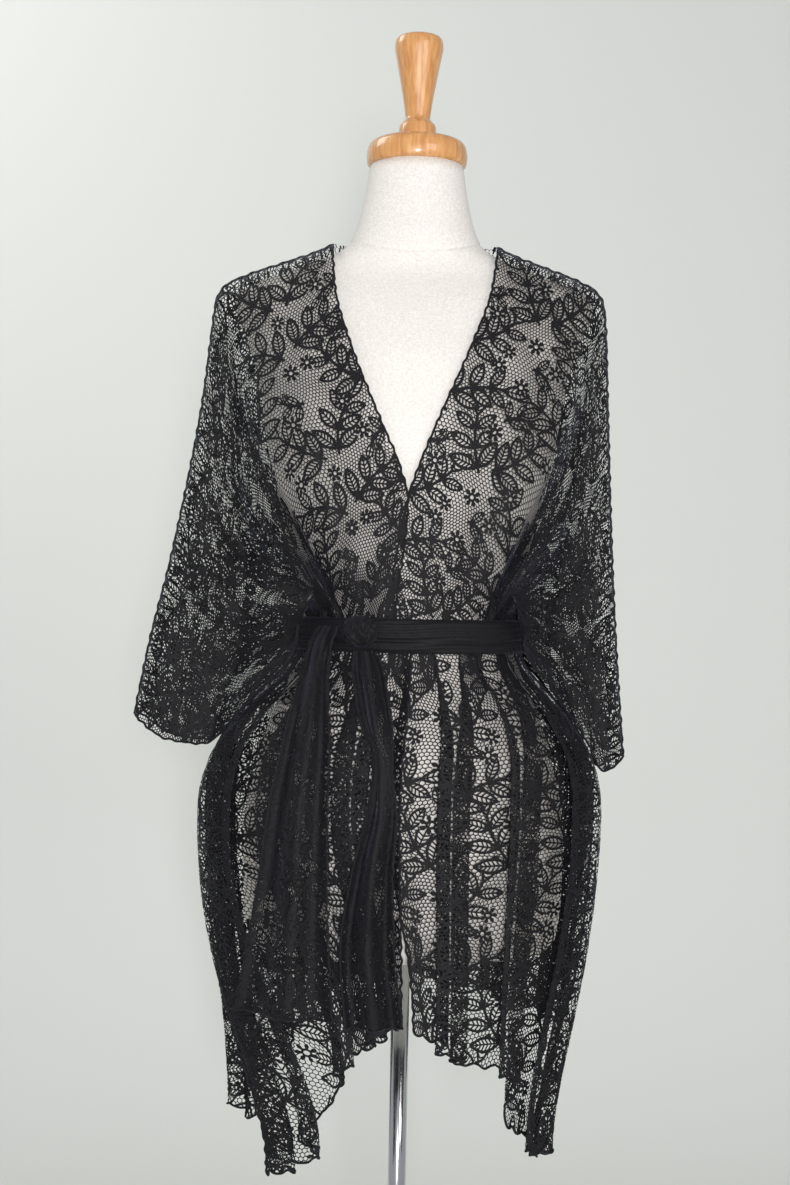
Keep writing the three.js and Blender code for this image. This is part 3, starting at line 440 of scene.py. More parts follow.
def skirt_surface(which):
    """Cloth below the sash as a function of two shares, across the cloth and down the fall, and its
    width at the hip. Angle and height are smooth curves from fold line to fold line."""
    facing, sign = ("back", 1) if which == "back" else ("front", 1 if which == "right" else -1)
    lines = fold_lines(which)
    hip_angle, hip_out = fold_angles(lines, np.array([HIP_SHARE]))
    hip_level = np.full(len(lines), float(HIP_LEVEL))
    hip = skirt_point(facing, 1, hip_angle[0], hip_level, hip_out[0])
    steps = np.linalg.norm(np.diff(hip, axis=0), axis=1)
    travelled = np.concatenate([[0], np.cumsum(steps)])
    at = travelled / travelled[-1]
    fall = smooth_curve(HEM_FALL[which], 0, 1)

    def surface(across, down):
        shape = across.shape
        c, s = across.ravel(), down.ravel()
        angles, outs = fold_angles(lines, s)
        i = np.clip(np.searchsorted(at, c) - 1, 0, len(at) - 2)
        row = np.arange(len(c))

        def folded(values):
            slope = row_slopes(at, values)
            return cubic_between(
                at, i, c, values[row, i], values[row, i + 1], slope[row, i], slope[row, i + 1])

        scallop = SCALLOP_DEPTH * np.abs(np.sin(np.pi * c * travelled[-1] / SCALLOP_WIDTH))
        level = WAIST - s * fall(c) - scallop * smooth_step(SCALLOP_START, 1, s)
        return skirt_point(facing, sign, folded(angles), level, folded(outs)).reshape(*shape, 3)

    return surface, travelled[-1], fall


# %% [markdown]
# ## The lace
# Machine lace is a net with motifs worked into it: leaves with an outline, a rib and slanted veins,
# small daisies, and the stems that join them. Every line of it is a thread. Here each thread is a
# flat ribbon between two places on the cloth, drawn first on the flat cloth in millimetres and then
# laid on the draped surface, so net, leaves and stems all share one short piece of code. A texture
# with holes would be lighter, but it would not be there in the mesh.

# %% Lace pattern
REPEAT_WIDTH, REPEAT_HEIGHT = 150.0, 173.0
# Sprays: place of the foot, heading and curl in degrees, pairs of leaflets, length of a leaflet
SPRAYS = np.array([
    (9, 60, -48, 36, 3, 31), (145, 51, -140, -34, 3, 30), (72, 120, -132, 30, 3, 31),
    (85, 113, -40, -30, 3, 30), (7, 173, -28, -36, 3, 30), (141, 173, -104, -40, 3, 31),
    (74, 62, -62, 60, 2, 19), (5, 111, 20, -70, 2, 18), (81, 170, -20, 70, 2, 19),
])
LEAF_SPACING = 0.6
LEAF_SLANT = 52
LEAF_PLUMPNESS = 0.21
LEAF_SHRINK = 0.1  # each pair is shorter than the one before by this share of the first
LEAF_STAND = 0.54  # from the stem to a leaf's middle, as a share of its length
FIRST_PAIR, STEM_END = 0.35, 0.2  # stem before the first pair and after the last, in spacings
TIP_LEAF = 0.9
COVERED = 0.4
# Daisies: place of the middle, radius
DAISIES = np.array([
    (69, 76, 8.5), (7, 76, 8.5), (136, 72, 8), (76, 21, 8.5), (25, 129, 8), (76, 145, 8.5),
    (115, 125, 8), (46, 9, 8), (106, 161, 8), (5, 16, 7.5), (51, 164, 7.5),
])
PETALS = 7
DAISY_RING, DAISY_RING_THREAD = 0.42, 0.3
# Petals, as shares of the daisy's radius: two stretches with their ends and the widths there
PETAL_STRETCHES = ((0.5, 0.8, 0.3, 0.6), (0.8, 1.05, 0.6, 0.3))
NET_PITCH = 4.0
NET_THREAD = 1.0
OUTLINE_SHARE = 0.19  # outline's width as a share of half the leaf's length
VEIN_THREAD = 1.6
STEM_THREAD = 3.0
VEIN_SPACING = 5.2
# Along a leaf, as shares of half its length: its rib, the feet of its veins, and how far they lean
RIB_ENDS = np.array([-1.15, 0.95])
FIRST_VEIN, LAST_VEIN, VEIN_LEAN = -0.7, 0.5, 0.24
RELIEF = 0.35


def chain(points, width):
    """Threads of one width from each point of a line to the next. Columns: start, end, two widths."""
    widths = np.full((len(points) - 1, 2), width)
    return np.concatenate([points[:-1], points[1:], widths], axis=1)


def spray_line(x, y, heading, curl, reach):
    """Places and headings along a stem that turns evenly as it goes."""
    steps = np.linspace(0, 1, 13)
    angle = np.radians(heading + curl * steps)
    step = reach / (len(steps) - 1)
    moves = step * np.stack([np.cos(angle), np.sin(angle)], axis=-1)
    return np.array([x, y]) + np.cumsum(moves, axis=0) - moves[0], heading + curl * steps


def sprays_of_repeat():
    """Leaves of one repeat, with columns middle, heading, half length and half width, and stems."""
    leaves, stems = [], []
    for x, y, heading, curl, pairs, length in SPRAYS:
        spacing = LEAF_SPACING * length
        reach = (pairs + STEM_END) * spacing
        line, turn = spray_line(x, y, heading, curl, reach)
        stems.append(chain(line, STEM_THREAD))
        for pair in range(int(pairs)):
            share = (pair + FIRST_PAIR) * spacing / reach
            at = round(share * (len(line) - 1))
            size = length * (1 - LEAF_SHRINK * pair)
            for side in (-1, 1):
                slant = turn[at] + side * LEAF_SLANT
                ahead = np.array([np.cos(np.radians(slant)), np.sin(np.radians(slant))])
                leaves.append((*(line[at] + LEAF_STAND * size * ahead), slant, size / 2,
                               LEAF_PLUMPNESS * size))
        tip = TIP_LEAF * length
        ahead = np.array([np.cos(np.radians(turn[-1])), np.sin(np.radians(turn[-1]))])
        leaves.append((*(line[-1] + tip / 2 * ahead), turn[-1], tip / 2, LEAF_PLUMPNESS * tip))
    return np.array(leaves), np.concatenate(stems)


LEAVES, STEMS = sprays_of_repeat()


def from_middle(p, q, middles):
    """Offset of every place from every motif's middle, in the nearest repeat."""
    dx = p[:, None] - middles[:, 0]
    dy = q[:, None] - middles[:, 1]
    dx = dx - REPEAT_WIDTH * np.round(dx / REPEAT_WIDTH)
    dy = dy - REPEAT_HEIGHT * np.round(dy / REPEAT_HEIGHT)
    return dx, dy


def inside_leaves(p, q):
    """How far every place lies inside every leaf: half width times (1 - (along / half length)
    squared), less the distance across."""
    dx, dy = from_middle(p, q, LEAVES)
    turn = np.radians(LEAVES[:, 2])
    along = dx * np.cos(turn) + dy * np.sin(turn)
    across = dy * np.cos(turn) - dx * np.sin(turn)
    return LEAVES[:, 4] * (1 - (along / LEAVES[:, 3]) ** 2) - np.abs(across)


def in_daisies(p, q):
    """Whether each place lies in a daisy."""
    return (np.hypot(*from_middle(p, q, DAISIES)) < DAISIES[:, 2]).any(axis=1)


def leaf_threads(x, y, heading, half_length, half_width):
    """Outline, rib and veins of one leaf: two parabolas, a line, and slanted lines between them."""
    turn = np.radians(heading)
    axes = np.array([(np.cos(turn), np.sin(turn)), (-np.sin(turn), np.cos(turn))])

    def placed(along, across):
        return np.array([x, y]) + np.stack([along * half_length, across * half_width], axis=-1) @ axes

    share = np.linspace(-1, 1, 9)
    veins = round(2 * half_length / VEIN_SPACING)
    foot = np.linspace(FIRST_VEIN, LAST_VEIN, veins)
    head = foot + VEIN_LEAN
    threads = [chain(placed(RIB_ENDS, np.zeros(2)), VEIN_THREAD)]
    for side in (-1, 1):
        threads.append(chain(placed(share, side * (1 - share**2)), OUTLINE_SHARE * half_length))
        ends = [placed(foot, np.zeros(veins)), placed(head, side * (1 - head**2))]
        threads.append(np.concatenate([*ends, np.full((veins, 2), VEIN_THREAD)], axis=1))
    return np.concatenate(threads)


def daisy_threads(x, y, radius):
    """Ring round an open eye, and petals that widen and then narrow outwards."""
    turn = np.linspace(0, 2 * np.pi, PETALS + 1)
    rays = np.stack([np.cos(turn), np.sin(turn)], axis=-1)
    middle = np.array([x, y])
    threads = [chain(middle + DAISY_RING * radius * rays, DAISY_RING_THREAD * radius)]
    for near, far, near_width, far_width in PETAL_STRETCHES:
        widths = np.tile([near_width * radius, far_width * radius], (PETALS, 1))
        petals = [middle + near * radius * rays[:-1], middle + far * radius * rays[:-1], widths]
        threads.append(np.concatenate(petals, axis=1))
    return np.concatenate(threads)


def motifs_of_repeat():
    """Threads of all motifs of one repeat. What lies under an earlier leaf or a daisy is left out."""
    leaf_sets = [leaf_threads(*leaf) for leaf in LEAVES]
    owner = np.repeat(np.arange(len(LEAVES) + 1), [len(s) for s in leaf_sets] + [len(STEMS)])
    threads = np.concatenate([*leaf_sets, STEMS])
    p, q = (threads[:, 0:2] + threads[:, 2:4]).T / 2
    earlier = np.arange(len(LEAVES)) < owner[:, None]
    covered = ((inside_leaves(p, q) > COVERED) & earlier).any(axis=1)
    seen = threads[~covered & ~in_daisies(p, q)]
    return np.concatenate([seen, *(daisy_threads(*daisy) for daisy in DAISIES)])


MOTIFS = motifs_of_repeat()
print("leaves in a repeat", len(LEAVES), "daisies", len(DAISIES), "motif threads", len(MOTIFS))

# %% Lace mesh
WARP = 3.0
EDGE_RADIUS = 1.3
EDGE_SIDES = 6
EDGE_WAVES = ((0.35, 11.0), (0.4, 17.0))  # heights and lengths of the small waves of an edge
THREAD_OVERLAP = 0.3
TIGHTEST = 0.22
BATCH = 60000


def net_threads(width, height):
    """Threads of a honeycomb net over the cloth, three for each cell. Its rows wander a little, by
    sines of the place along them."""
    rise = NET_PITCH / math.sqrt(3)
    i, j = np.meshgrid(np.arange(width // NET_PITCH + 2), np.arange(height // (1.5 * rise) + 2),
                       indexing="ij")
    middle = np.stack([(i + 0.5 * (j % 2)) * NET_PITCH, 1.5 * rise * j], axis=-1).reshape(-1, 2)
    left, top, right, low = (middle + corner for corner in (
        (-NET_PITCH / 2, rise / 2), (0, rise), (NET_PITCH / 2, rise / 2), (NET_PITCH / 2, -rise / 2)))
    pairs = ((left, top), (top, right), (right, low))
    ends = np.concatenate([np.concatenate(pair, axis=1) for pair in pairs])
    turn = 2 * np.pi / REPEAT_WIDTH
    sway = WARP * np.sin(turn * (2 * ends[:, 1::2] + ends[:, 0::2]))
    roll = WARP * np.sin(turn * (2 * ends[:, 0::2] - ends[:, 1::2]))
    ends = ends + np.stack([sway, roll], axis=-1).reshape(ends.shape)
    return np.concatenate([ends, np.full((len(ends), 2), NET_THREAD)], axis=1)


def motif_threads(width, height, shift):
    """Threads of the repeat, laid side by side over the cloth."""
    across = np.arange(-1, width // REPEAT_WIDTH + 2) * REPEAT_WIDTH - shift[0]
    down = np.arange(-1, height // REPEAT_HEIGHT + 2) * REPEAT_HEIGHT - shift[1]
    x, y = np.meshgrid(across, down, indexing="ij")
    places = np.stack([x, y, x, y, np.zeros_like(x), np.zeros_like(x)], axis=-1).reshape(-1, 1, 6)
    return (MOTIFS + places).reshape(-1, 6)


def worked(threads, shift):
    """Whether a net thread lies where a leaf or a daisy is worked instead."""
    p, q = (threads[:, 0:2] + threads[:, 2:4]).T / 2 + np.array(shift)[:, None]
    return (inside_leaves(p, q) > 0).any(axis=1) | in_daisies(p, q)


def in_batches(surface, u, v):
    """Surface points, worked out in batches to keep the memory small."""
    count = len(u) // BATCH + 1
    batches = zip(np.array_split(u, count), np.array_split(v, count))
    return np.concatenate([surface(*batch) for batch in batches])


def surface_frame(surface, u, v, out_sign):
    """Both tangents of a surface, from small steps, and its normal, their cross product."""
    step = 1e-3
    low_u, high_u = np.clip(u - step, 0, 1), np.clip(u + step, 0, 1)
    low_v, high_v = np.clip(v - step, 0, 1), np.clip(v + step, 0, 1)
    du = (in_batches(surface, high_u, v) - in_batches(surface, low_u, v)) / (high_u - low_u)[:, None]
    dv = (in_batches(surface, u, high_v) - in_batches(surface, u, low_v)) / (high_v - low_v)[:, None]
    normal = out_sign * np.cross(du, dv)
    return du, dv, normal / np.maximum(np.linalg.norm(normal, axis=1, keepdims=True), 1e-9)


def ribbons(surface, width, lengths, threads, out_sign, lift):
    """Flat ribbon for each thread that starts and ends on the cloth: four corners beside its two
    ends. Where the cloth is gathered the corners are set further apart on the flat, so that the
    thread keeps its true width and the holes close up."""
    p, q = (threads[:, 0:2] + threads[:, 2:4]).T / 2
    on_cloth = (p > 0) & (p < width) & (q > 0) & (q < lengths(np.clip(p / width, 0, 1)))
    threads, p, q = threads[on_cloth], p[on_cloth], q[on_cloth]
    reach = lengths(p / width)
    du, dv, normal = surface_frame(surface, p / width, q / reach, out_sign)
    scale = np.stack([np.linalg.norm(du, axis=1) / width, np.linalg.norm(dv, axis=1) / reach], axis=-1)
    start, end = threads[:, 0:2], threads[:, 2:4]
    ahead = (end - start) / np.linalg.norm(end - start, axis=1, keepdims=True)
    beside = np.stack([-ahead[:, 1], ahead[:, 0]], axis=-1) / np.maximum(scale, TIGHTEST)
    near, far = threads[:, 4:5] / 2, threads[:, 5:6] / 2
    start = start - THREAD_OVERLAP * near * ahead
    end = end + THREAD_OVERLAP * far * ahead
    corners = np.stack(
        [start - near * beside, start + near * beside, end + far * beside, end - far * beside], axis=1)
    u = np.clip(corners[..., 0] / width, 0, 1).ravel()
    v = np.clip(corners[..., 1].ravel() / lengths(u), 0, 1)
    points = in_batches(surface, u, v) + lift * np.repeat(normal, 4, axis=0)
    first = 4 * np.arange(len(threads))
    quarters = np.array([(0, 2, 1), (0, 3, 2)])
    faces = (first[:, None, None] + quarters).reshape(-1, 3)
    return points, faces if out_sign > 0 else faces[:, ::-1]


def lace_sheet(surface, width, lengths, out_sign, shift):
    """Lace on a draped surface: the net where nothing is worked, and the motifs a little above it."""
    height = float(lengths(np.linspace(0, 1, 200)).max())
    net = net_threads(width, height)
    net = net[~worked(net, shift)]
    motifs = motif_threads(width, height, shift)
    return joined(
        ribbons(surface, width, lengths, net, out_sign, LACE_WALL / 2),
        ribbons(surface, width, lengths, motifs, out_sign, LACE_WALL / 2 + RELIEF),
    )


def loft(rings):
    """Points and faces of a skin over closed rings, with a fan over the first and last ring."""
    count, steps = rings.shape[:2]
    points = np.concatenate([rings.reshape(-1, 3), rings[:1].mean(axis=1), rings[-1:].mean(axis=1)])
    index = np.arange(count * steps).reshape(count, steps)
    after = np.roll(index, -1, axis=1)
    low, high = index[:-1].ravel(), index[1:].ravel()
    low_next, high_next = after[:-1].ravel(), after[1:].ravel()
    foot = np.full(steps, count * steps)
    faces = [
        np.stack([low, low_next, high_next], axis=-1),
        np.stack([low, high_next, high], axis=-1),
        np.stack([foot, after[0], index[0]], axis=-1),
        np.stack([foot + 1, index[-1], after[-1]], axis=-1),
    ]
    return points, np.concatenate(faces)


def rolled_edge(surface, u, v, out_sign):
    """Tube along a line of shares on a surface: the cloth's edge, rolled and oversewn, with the
    small waves that the tight stitches give it."""
    line = surface(u, v)
    steps = np.linalg.norm(np.diff(line, axis=0), axis=1)
    travelled = np.concatenate([[0], np.cumsum(steps)])
    wave = sum(height * np.sin(2 * np.pi * travelled / length) for height, length in EDGE_WAVES)
    ahead = np.gradient(line, axis=0)
    ahead = ahead / np.maximum(np.linalg.norm(ahead, axis=1, keepdims=True), 1e-9)
    out = surface_frame(surface, u, v, out_sign)[2]
    beside = np.cross(ahead, out)
    line = line + LACE_WALL / 2 * out + wave[:, None] * (out + beside)
    turn = np.linspace(0, 2 * np.pi, EDGE_SIDES, endpoint=False)[None, :, None]
    rings = line[:, None] + EDGE_RADIUS * (np.cos(turn) * out[:, None] - np.sin(turn) * beside[:, None])
    return loft(rings)


def joined(*meshes):
    """Several pairs of points and triangles as one pair."""
    counts = np.cumsum([0] + [len(points) for points, _ in meshes[:-1]])
    points = np.concatenate([points for points, _ in meshes])
    return points, np.concatenate([faces + count for (_, faces), count in zip(meshes, counts)])


def column_lengths(surface):
    """True length of the cloth from its top to its bottom, as a function of the share across."""
    across, way = np.meshgrid(np.linspace(0, 1, 121), np.linspace(0, 1, 81), indexing="ij")
    steps = np.linalg.norm(np.diff(surface(across, way), axis=1), axis=-1)
    return lambda share: np.interp(share, across[:, 0], steps.sum(axis=1))


# %% [markdown]
# ## From arrays to Blender objects
# A mesh needs points, faces and a material. One function puts the arrays in, one turns hex colours
# into the linear ones that shaders use, and one adds a node with its settings and links.


# %% Mesh and node helpers
def linear(hex_colour):
    """sRGB hex colour as the linear one that a shader takes."""
    srgb = np.array([int(hex_colour[k:k + 2], 16) for k in (1, 3, 5)]) / 255
    value = np.where(srgb <= 0.04045, srgb / 12.92, ((srgb + 0.055) / 1.055) ** 2.4)
    return (*value.tolist(), 1.0)


def add_node(tree, kind, settings=(), **links):
    """New node of one kind. settings are (name, value) pairs for its properties or sockets, and
    links are sockets, named with _ for a space, fed by another node's socket."""
    node = tree.nodes.new(kind)
    for name, value in settings:
        if hasattr(node, name):
            setattr(node, name, value)
        else:
            node.inputs[name].default_value = value
    for name, source in links.items():
        tree.links.new(source, node.inputs[name.replace("_", " ")])
    return node


def new_material(name):
    """Material with an empty node tree and its Principled shader."""
    material = bpy.data.materials.new(name)
    material.use_nodes = True
    return material, material.node_tree, material.node_tree.nodes["Principled BSDF"]


def set_sockets(shader, **values):
    """Constant values on the shader's own sockets, named with _ for a space."""
    for name, value in values.items():
        shader.inputs[name.replace("_", " ")].default_value = value


def new_piece(name, points, faces, material, slot, *nodes):
    """Object from points in millimetres, at the origin, riding on the one body."""
    mesh = bpy.data.meshes.new(name)
    mesh.from_pydata((points * METRE).tolist(), [], faces.tolist())
    mesh.polygons.foreach_set("use_smooth", np.ones(len(faces), bool))
    mesh.materials.append(material)
    mesh.update()
    piece = bpy.data.objects.new(name, mesh)
    bpy.context.scene.collection.objects.link(piece)
    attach(piece, "root")
    if nodes:
        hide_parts(*nodes)
    return piece


def mesh_area(piece):
    """Area of a mesh in square metres."""
    areas = np.empty(len(piece.data.polygons))
    piece.data.polygons.foreach_get("area", areas)
    return float(areas.sum())


# %% [markdown]
# ## Finishes
# The lace is dull black polyester thread with a slight bluish sheen, the form is covered with
# off-white linen, the cap and finial are lacquered beech, and the pole and base are chromed steel.


# %% Materials
def lace_thread():
    """Black polyester thread: a very dark base with a soft sheen where light grazes it."""
    material, tree, shader = new_material("black polyester lace thread")
    coords = add_node(tree, "ShaderNodeTexCoord")
    noise = add_node(tree, "ShaderNodeTexNoise", (("Scale", 260.0), ("Detail", 3.0)),
                     Vector=coords.outputs["Object"])
    colours = add_node(tree, "ShaderNodeValToRGB", (), Fac=noise.outputs["Fac"])
    colours.color_ramp.elements[0].color = linear("#030304")
    colours.color_ramp.elements[1].color = linear("#0c0b10")
    bump = add_node(tree, "ShaderNodeBump", (("Strength", 0.7), ("Distance", 0.0015)),
                    Height=noise.outputs["Fac"])
    tree.links.new(colours.outputs["Color"], shader.inputs["Base Color"])
    tree.links.new(bump.outputs["Normal"], shader.inputs["Normal"])
    set_sockets(shader, Roughness=0.7, Sheen_Weight=0.2, Sheen_Roughness=0.4,
                Sheen_Tint=linear("#8f90a6"), Specular_IOR_Level=0.28)
    return material


def linen_cover():
    """Plain-woven linen: two crossed sets of threads in the bump, with slubs and a faint mottle."""
    material, tree, shader = new_material("off-white linen")
    coords = add_node(tree, "ShaderNodeTexCoord")
    place = coords.outputs["Object"]
    slub = add_node(tree, "ShaderNodeTexNoise", (("Scale", 420.0), ("Detail", 3.0)), Vector=place)
    colours = add_node(tree, "ShaderNodeValToRGB", (), Fac=slub.outputs["Fac"])
    colours.color_ramp.elements[0].position = 0.3
    colours.color_ramp.elements[0].color = linear("#d8d2ca")
    colours.color_ramp.elements[1].position = 0.7
    colours.color_ramp.elements[1].color = linear("#e8e4de")
    weft = add_node(tree, "ShaderNodeTexWave",
                    (("bands_direction", "Z"), ("Scale", 180.0), ("Distortion", 3.0)), Vector=place)
    warp = add_node(tree, "ShaderNodeTexWave",
                    (("bands_direction", "X"), ("Scale", 180.0), ("Distortion", 3.0)), Vector=place)
    weave = add_node(tree, "ShaderNodeMath", (("operation", "ADD"),))
    tree.links.new(weft.outputs["Fac"], weave.inputs[0])
    tree.links.new(warp.outputs["Fac"], weave.inputs[1])
    bump = add_node(tree, "ShaderNodeBump", (("Strength", 0.25), ("Distance", 0.0004)),
                    Height=weave.outputs["Value"])
    tree.links.new(colours.outputs["Color"], shader.inputs["Base Color"])
    tree.links.new(bump.outputs["Normal"], shader.inputs["Normal"])
    set_sockets(shader, Roughness=0.9, Specular_IOR_Level=0.2, Sheen_Weight=0.15)
    return material


def lacquered_beech():
    """Turned beech under clear lacquer: long grain up the axis, warm, with a sharp gloss."""
    material, tree, shader = new_material("lacquered beech")
    coords = add_node(tree, "ShaderNodeTexCoord")
    stretch = add_node(tree, "ShaderNodeMapping", (("Scale", (1.0, 1.0, 0.08)),),
                       Vector=coords.outputs["Object"])
    grain = add_node(tree, "ShaderNodeTexNoise", (("Scale", 220.0), ("Detail", 5.0)),
                     Vector=stretch.outputs["Vector"])
    colours = add_node(tree, "ShaderNodeValToRGB", (), Fac=grain.outputs["Fac"])
    colours.color_ramp.elements[0].position = 0.3
    colours.color_ramp.elements[0].color = linear("#b97a3f")
    colours.color_ramp.elements[1].position = 0.7
    colours.color_ramp.elements[1].color = linear("#dba468")
    tree.links.new(colours.outputs["Color"], shader.inputs["Base Color"])
    set_sockets(shader, Roughness=0.38, Coat_Weight=0.8, Coat_Roughness=0.08)
    return material


def chromed_steel():
    """Bright chrome plate: metallic, nearly mirror smooth, with faint smears in its roughness."""
    material, tree, shader = new_material("chromed steel")
    coords = add_node(tree, "ShaderNodeTexCoord")
    smear = add_node(tree, "ShaderNodeTexNoise", (("Scale", 30.0), ("Detail", 3.0)),
                     Vector=coords.outputs["Object"])
    rough = add_node(tree, "ShaderNodeMapRange", (("To Min", 0.08), ("To Max", 0.2)),
                     Value=smear.outputs["Fac"])
    tree.links.new(rough.outputs["Result"], shader.inputs["Roughness"])
    set_sockets(shader, Base_Color=linear("#d4d6d9"), Metallic=1.0)
    return material


LACE, LINEN, BEECH, CHROME = lace_thread(), linen_cover(), lacquered_beech(), chromed_steel()

# %% [markdown]
# ## The dress form
# The torso is a stack of ellipses, one for each level, with the front and back of each ellipse of
# its own depth. The wood is turned on a lathe, so it is an outline carried round an axis.

# %% Form and stand
RING_STEPS = 96


def turned(outline, steps=96, smooth=6):
    """Lathe: an outline of radii and levels carried round the upright axis, with rounded steps."""
    outline = np.array(outline, float)
    place = np.arange(len(outline), dtype=float)
    table = np.column_stack([place, outline])
    fine = np.linspace(0, place[-1], smooth * (len(outline) - 1) + 1)
    radius, level = smooth_curve(table, 0, 1)(fine), smooth_curve(table, 0, 2)(fine)
    angle = np.linspace(0, 2 * np.pi, steps, endpoint=False)
    ring = np.stack([np.cos(angle), np.sin(angle), np.zeros(steps)], axis=-1)
    rings = radius[:, None, None] * ring + level[:, None, None] * np.array([0.0, 0.0, 1.0])
    return loft(rings)


NECK_SEAM = 1381
NECK_SEAM_DIP = 16
SEAM_WIDTH = 1.3
SEAM_DEPTH = 1.5


def torso_skin():
    """Stack of ellipses, with a shallow groove where the neck piece is sewn on: the seam dips in
    front and its depth falls off as a bell curve."""
    level = np.unique(np.concatenate([np.linspace(FORM_BOTTOM, NECK_TOP, 80),
                                      np.linspace(1355, 1400, 40)]))
    angle = np.linspace(0, 2 * np.pi, RING_STEPS, endpoint=False)
    z, turn = np.meshgrid(level, angle, indexing="ij")
    ahead = np.sin(turn) < 0
    depth = np.where(ahead, form_depth["front"](z), form_depth["back"](z))
    seam_level = NECK_SEAM - NECK_SEAM_DIP * np.maximum(-np.sin(turn), 0) ** 2
    groove = SEAM_DEPTH * np.exp(-(((z - seam_level) / SEAM_WIDTH) ** 2))
    x = (form_width(z) - groove) * np.cos(turn)
    y = (depth - groove) * np.sin(turn)
    return loft(np.stack([x, y, z], axis=-1))


CAP_OUTLINE = [(49, 1462.3), (52, 1465), (53, 1473), (51, 1483), (44, 1488), (24, 1489.5)]
FINIAL_OUTLINE = [
    (19, 1489.8), (20, 1494), (19, 1505), (15, 1510), (13, 1514), (16, 1535), (22, 1568),
    (25.5, 1588), (24, 1596), (15, 1600),
]
BASE_OUTLINE = [(160, 0), (160, 8), (154, 11), (30, 16)]
POLE_RADIUS = 9.5
POLE_OUTLINE = [(POLE_RADIUS, 16.3), (POLE_RADIUS, FORM_BOTTOM - SEAM_GAP)]
new_piece("linen_torso", *torso_skin(), LINEN, "linen", "torso")
new_piece("turned_neck_cap", *turned(CAP_OUTLINE), BEECH, "wood", "neck_cap")
new_piece("turned_finial", *turned(FINIAL_OUTLINE), BEECH, "wood", "finial")
new_piece("chromed_pole", *turned(POLE_OUTLINE, 48, 1), CHROME, "chrome", "pole")
new_piece("chromed_base", *turned(BASE_OUTLINE, 128, 1), CHROME, "chrome", "base_plate")

# %% [markdown]
# ## The shawl
# Three stretches hang above the sash and three below it. Each is a lace sheet with its free edges
# rolled. The flat size given with each is the cloth it was cut from.

# %% Lace above the sash
EDGE_STEPS = np.linspace(0, 1, 260)
NO_STEPS, ALL_STEPS = np.zeros_like(EDGE_STEPS), np.ones_like(EDGE_STEPS)
UPPER_SHIFT = {"right": (12.0, 40.0), "left": (84.0, 110.0)}
BACK_SHIFT = (0.0, 20.0)


def lace_piece(name, node, made):
    """Lace object in place of a node, and a line that says how large its mesh is."""
    piece = new_piece(name, *made, LACE, "lace", node)
    print(name, len(piece.data.polygons), "triangles", round(mesh_area(piece), 4), "m2 of thread")
    return piece


for side, out_sign in (("right", -1), ("left", 1)):
    surface, length = upper_half(side, "front")
    made = joined(
        lace_sheet(surface, length, column_lengths(surface), out_sign, UPPER_SHIFT[side]),
        rolled_edge(surface, NO_STEPS, EDGE_STEPS, out_sign),
        rolled_edge(surface, ALL_STEPS, EDGE_STEPS, out_sign),
        rolled_edge(surface, EDGE_STEPS, NO_STEPS, out_sign),
    )
    piece = lace_piece("lace_front_" + side, "shawl_front_" + side, made)

surface, length = whole_back()
made = joined(
    lace_sheet(surface, length, column_lengths(surface), 1, BACK_SHIFT),
    rolled_edge(surface, NO_STEPS, EDGE_STEPS, 1),
    rolled_edge(surface, ALL_STEPS, EDGE_STEPS, 1),
)
piece = lace_piece("lace_back", "shawl_back", made)

# %% Lace below the sash
SKIRT_CUTS = (
    ("right", "skirt_front_right", -1, (30.0, 66.0)),
    ("left", "skirt_front_left", 1, (110.0, 10.0)),
    ("back", "skirt_back", 1, (60.0, 90.0)),
)
for which, node, out_sign, shift in SKIRT_CUTS:
    surface, width, fall = skirt_surface(which)
    made = joined(
        lace_sheet(surface, width, fall, out_sign, shift),
        rolled_edge(surface, NO_STEPS, EDGE_STEPS, out_sign),
        rolled_edge(surface, ALL_STEPS, EDGE_STEPS, out_sign),
        rolled_edge(surface, EDGE_STEPS, ALL_STEPS, out_sign),
    )
    piece = lace_piece("lace_" + node, node, made)

# %% [markdown]
# ## The sash
# A long strip of the same lace is wound round the waist, knotted, and its two ends hang down. The
# band and the knot are gathered tight, so they are solid folds. The ends are lace again.

# %% Sash
# Sash ends: level, middle to the side, width, depth of its folds, turn in degrees, distance out
SASH_TAILS = {
    "left": np.array([
        (982, -78, 20, 3, 0, 34), (966, -86, 23, 4, 4, 33), (930, -92, 30, 5, 4, 32),
        (870, -97, 46, 6, 2, 31), (810, -103, 58, 7, 4, 30), (740, -107, 68, 8, 4, 30),
        (670, -111, 82, 9, 2, 30), (604, -114, 98, 8, -2, 30),
    ], float),
    "right": np.array([
        (958, -42, 22, 3, 0, 28), (935, -38, 32, 5, 8, 28), (890, -30, 34, 6, 22, 28),
        (850, -22, 28, 5, 48, 30), (810, -22, 32, 5, 30, 30), (750, -30, 40, 7, 10, 28),
        (680, -34, 52, 8, 0, 27), (600, -26, 56, 8, -6, 27),
    ], float),
}
TAIL_WAVES = 1.5
TAIL_CLOTH = 180.0
TAIL_SHIFT = (40.0, 30.0)
BAND_CLEARANCE = 15
BAND_THICKEST = 6
BAND_HALF_HEIGHT = 17
GATHER_HEIGHT = 0.7
THINNEST_BAND = 0.8
# Section of the band: height from its middle, thickness
BAND_PROFILE = np.array([
    (-17, 1.6), (-13, 4.2), (-8, 4.6), (-5.5, 2.6), (-1, 5), (8, 5.4), (14, 4.4), (17, 1.6),
], float)
KNOT_X, KNOT_WIDTH, KNOT_HEIGHT, KNOT_DEPTH, KNOT_LIFT = -48, 34, 32, 17, 4


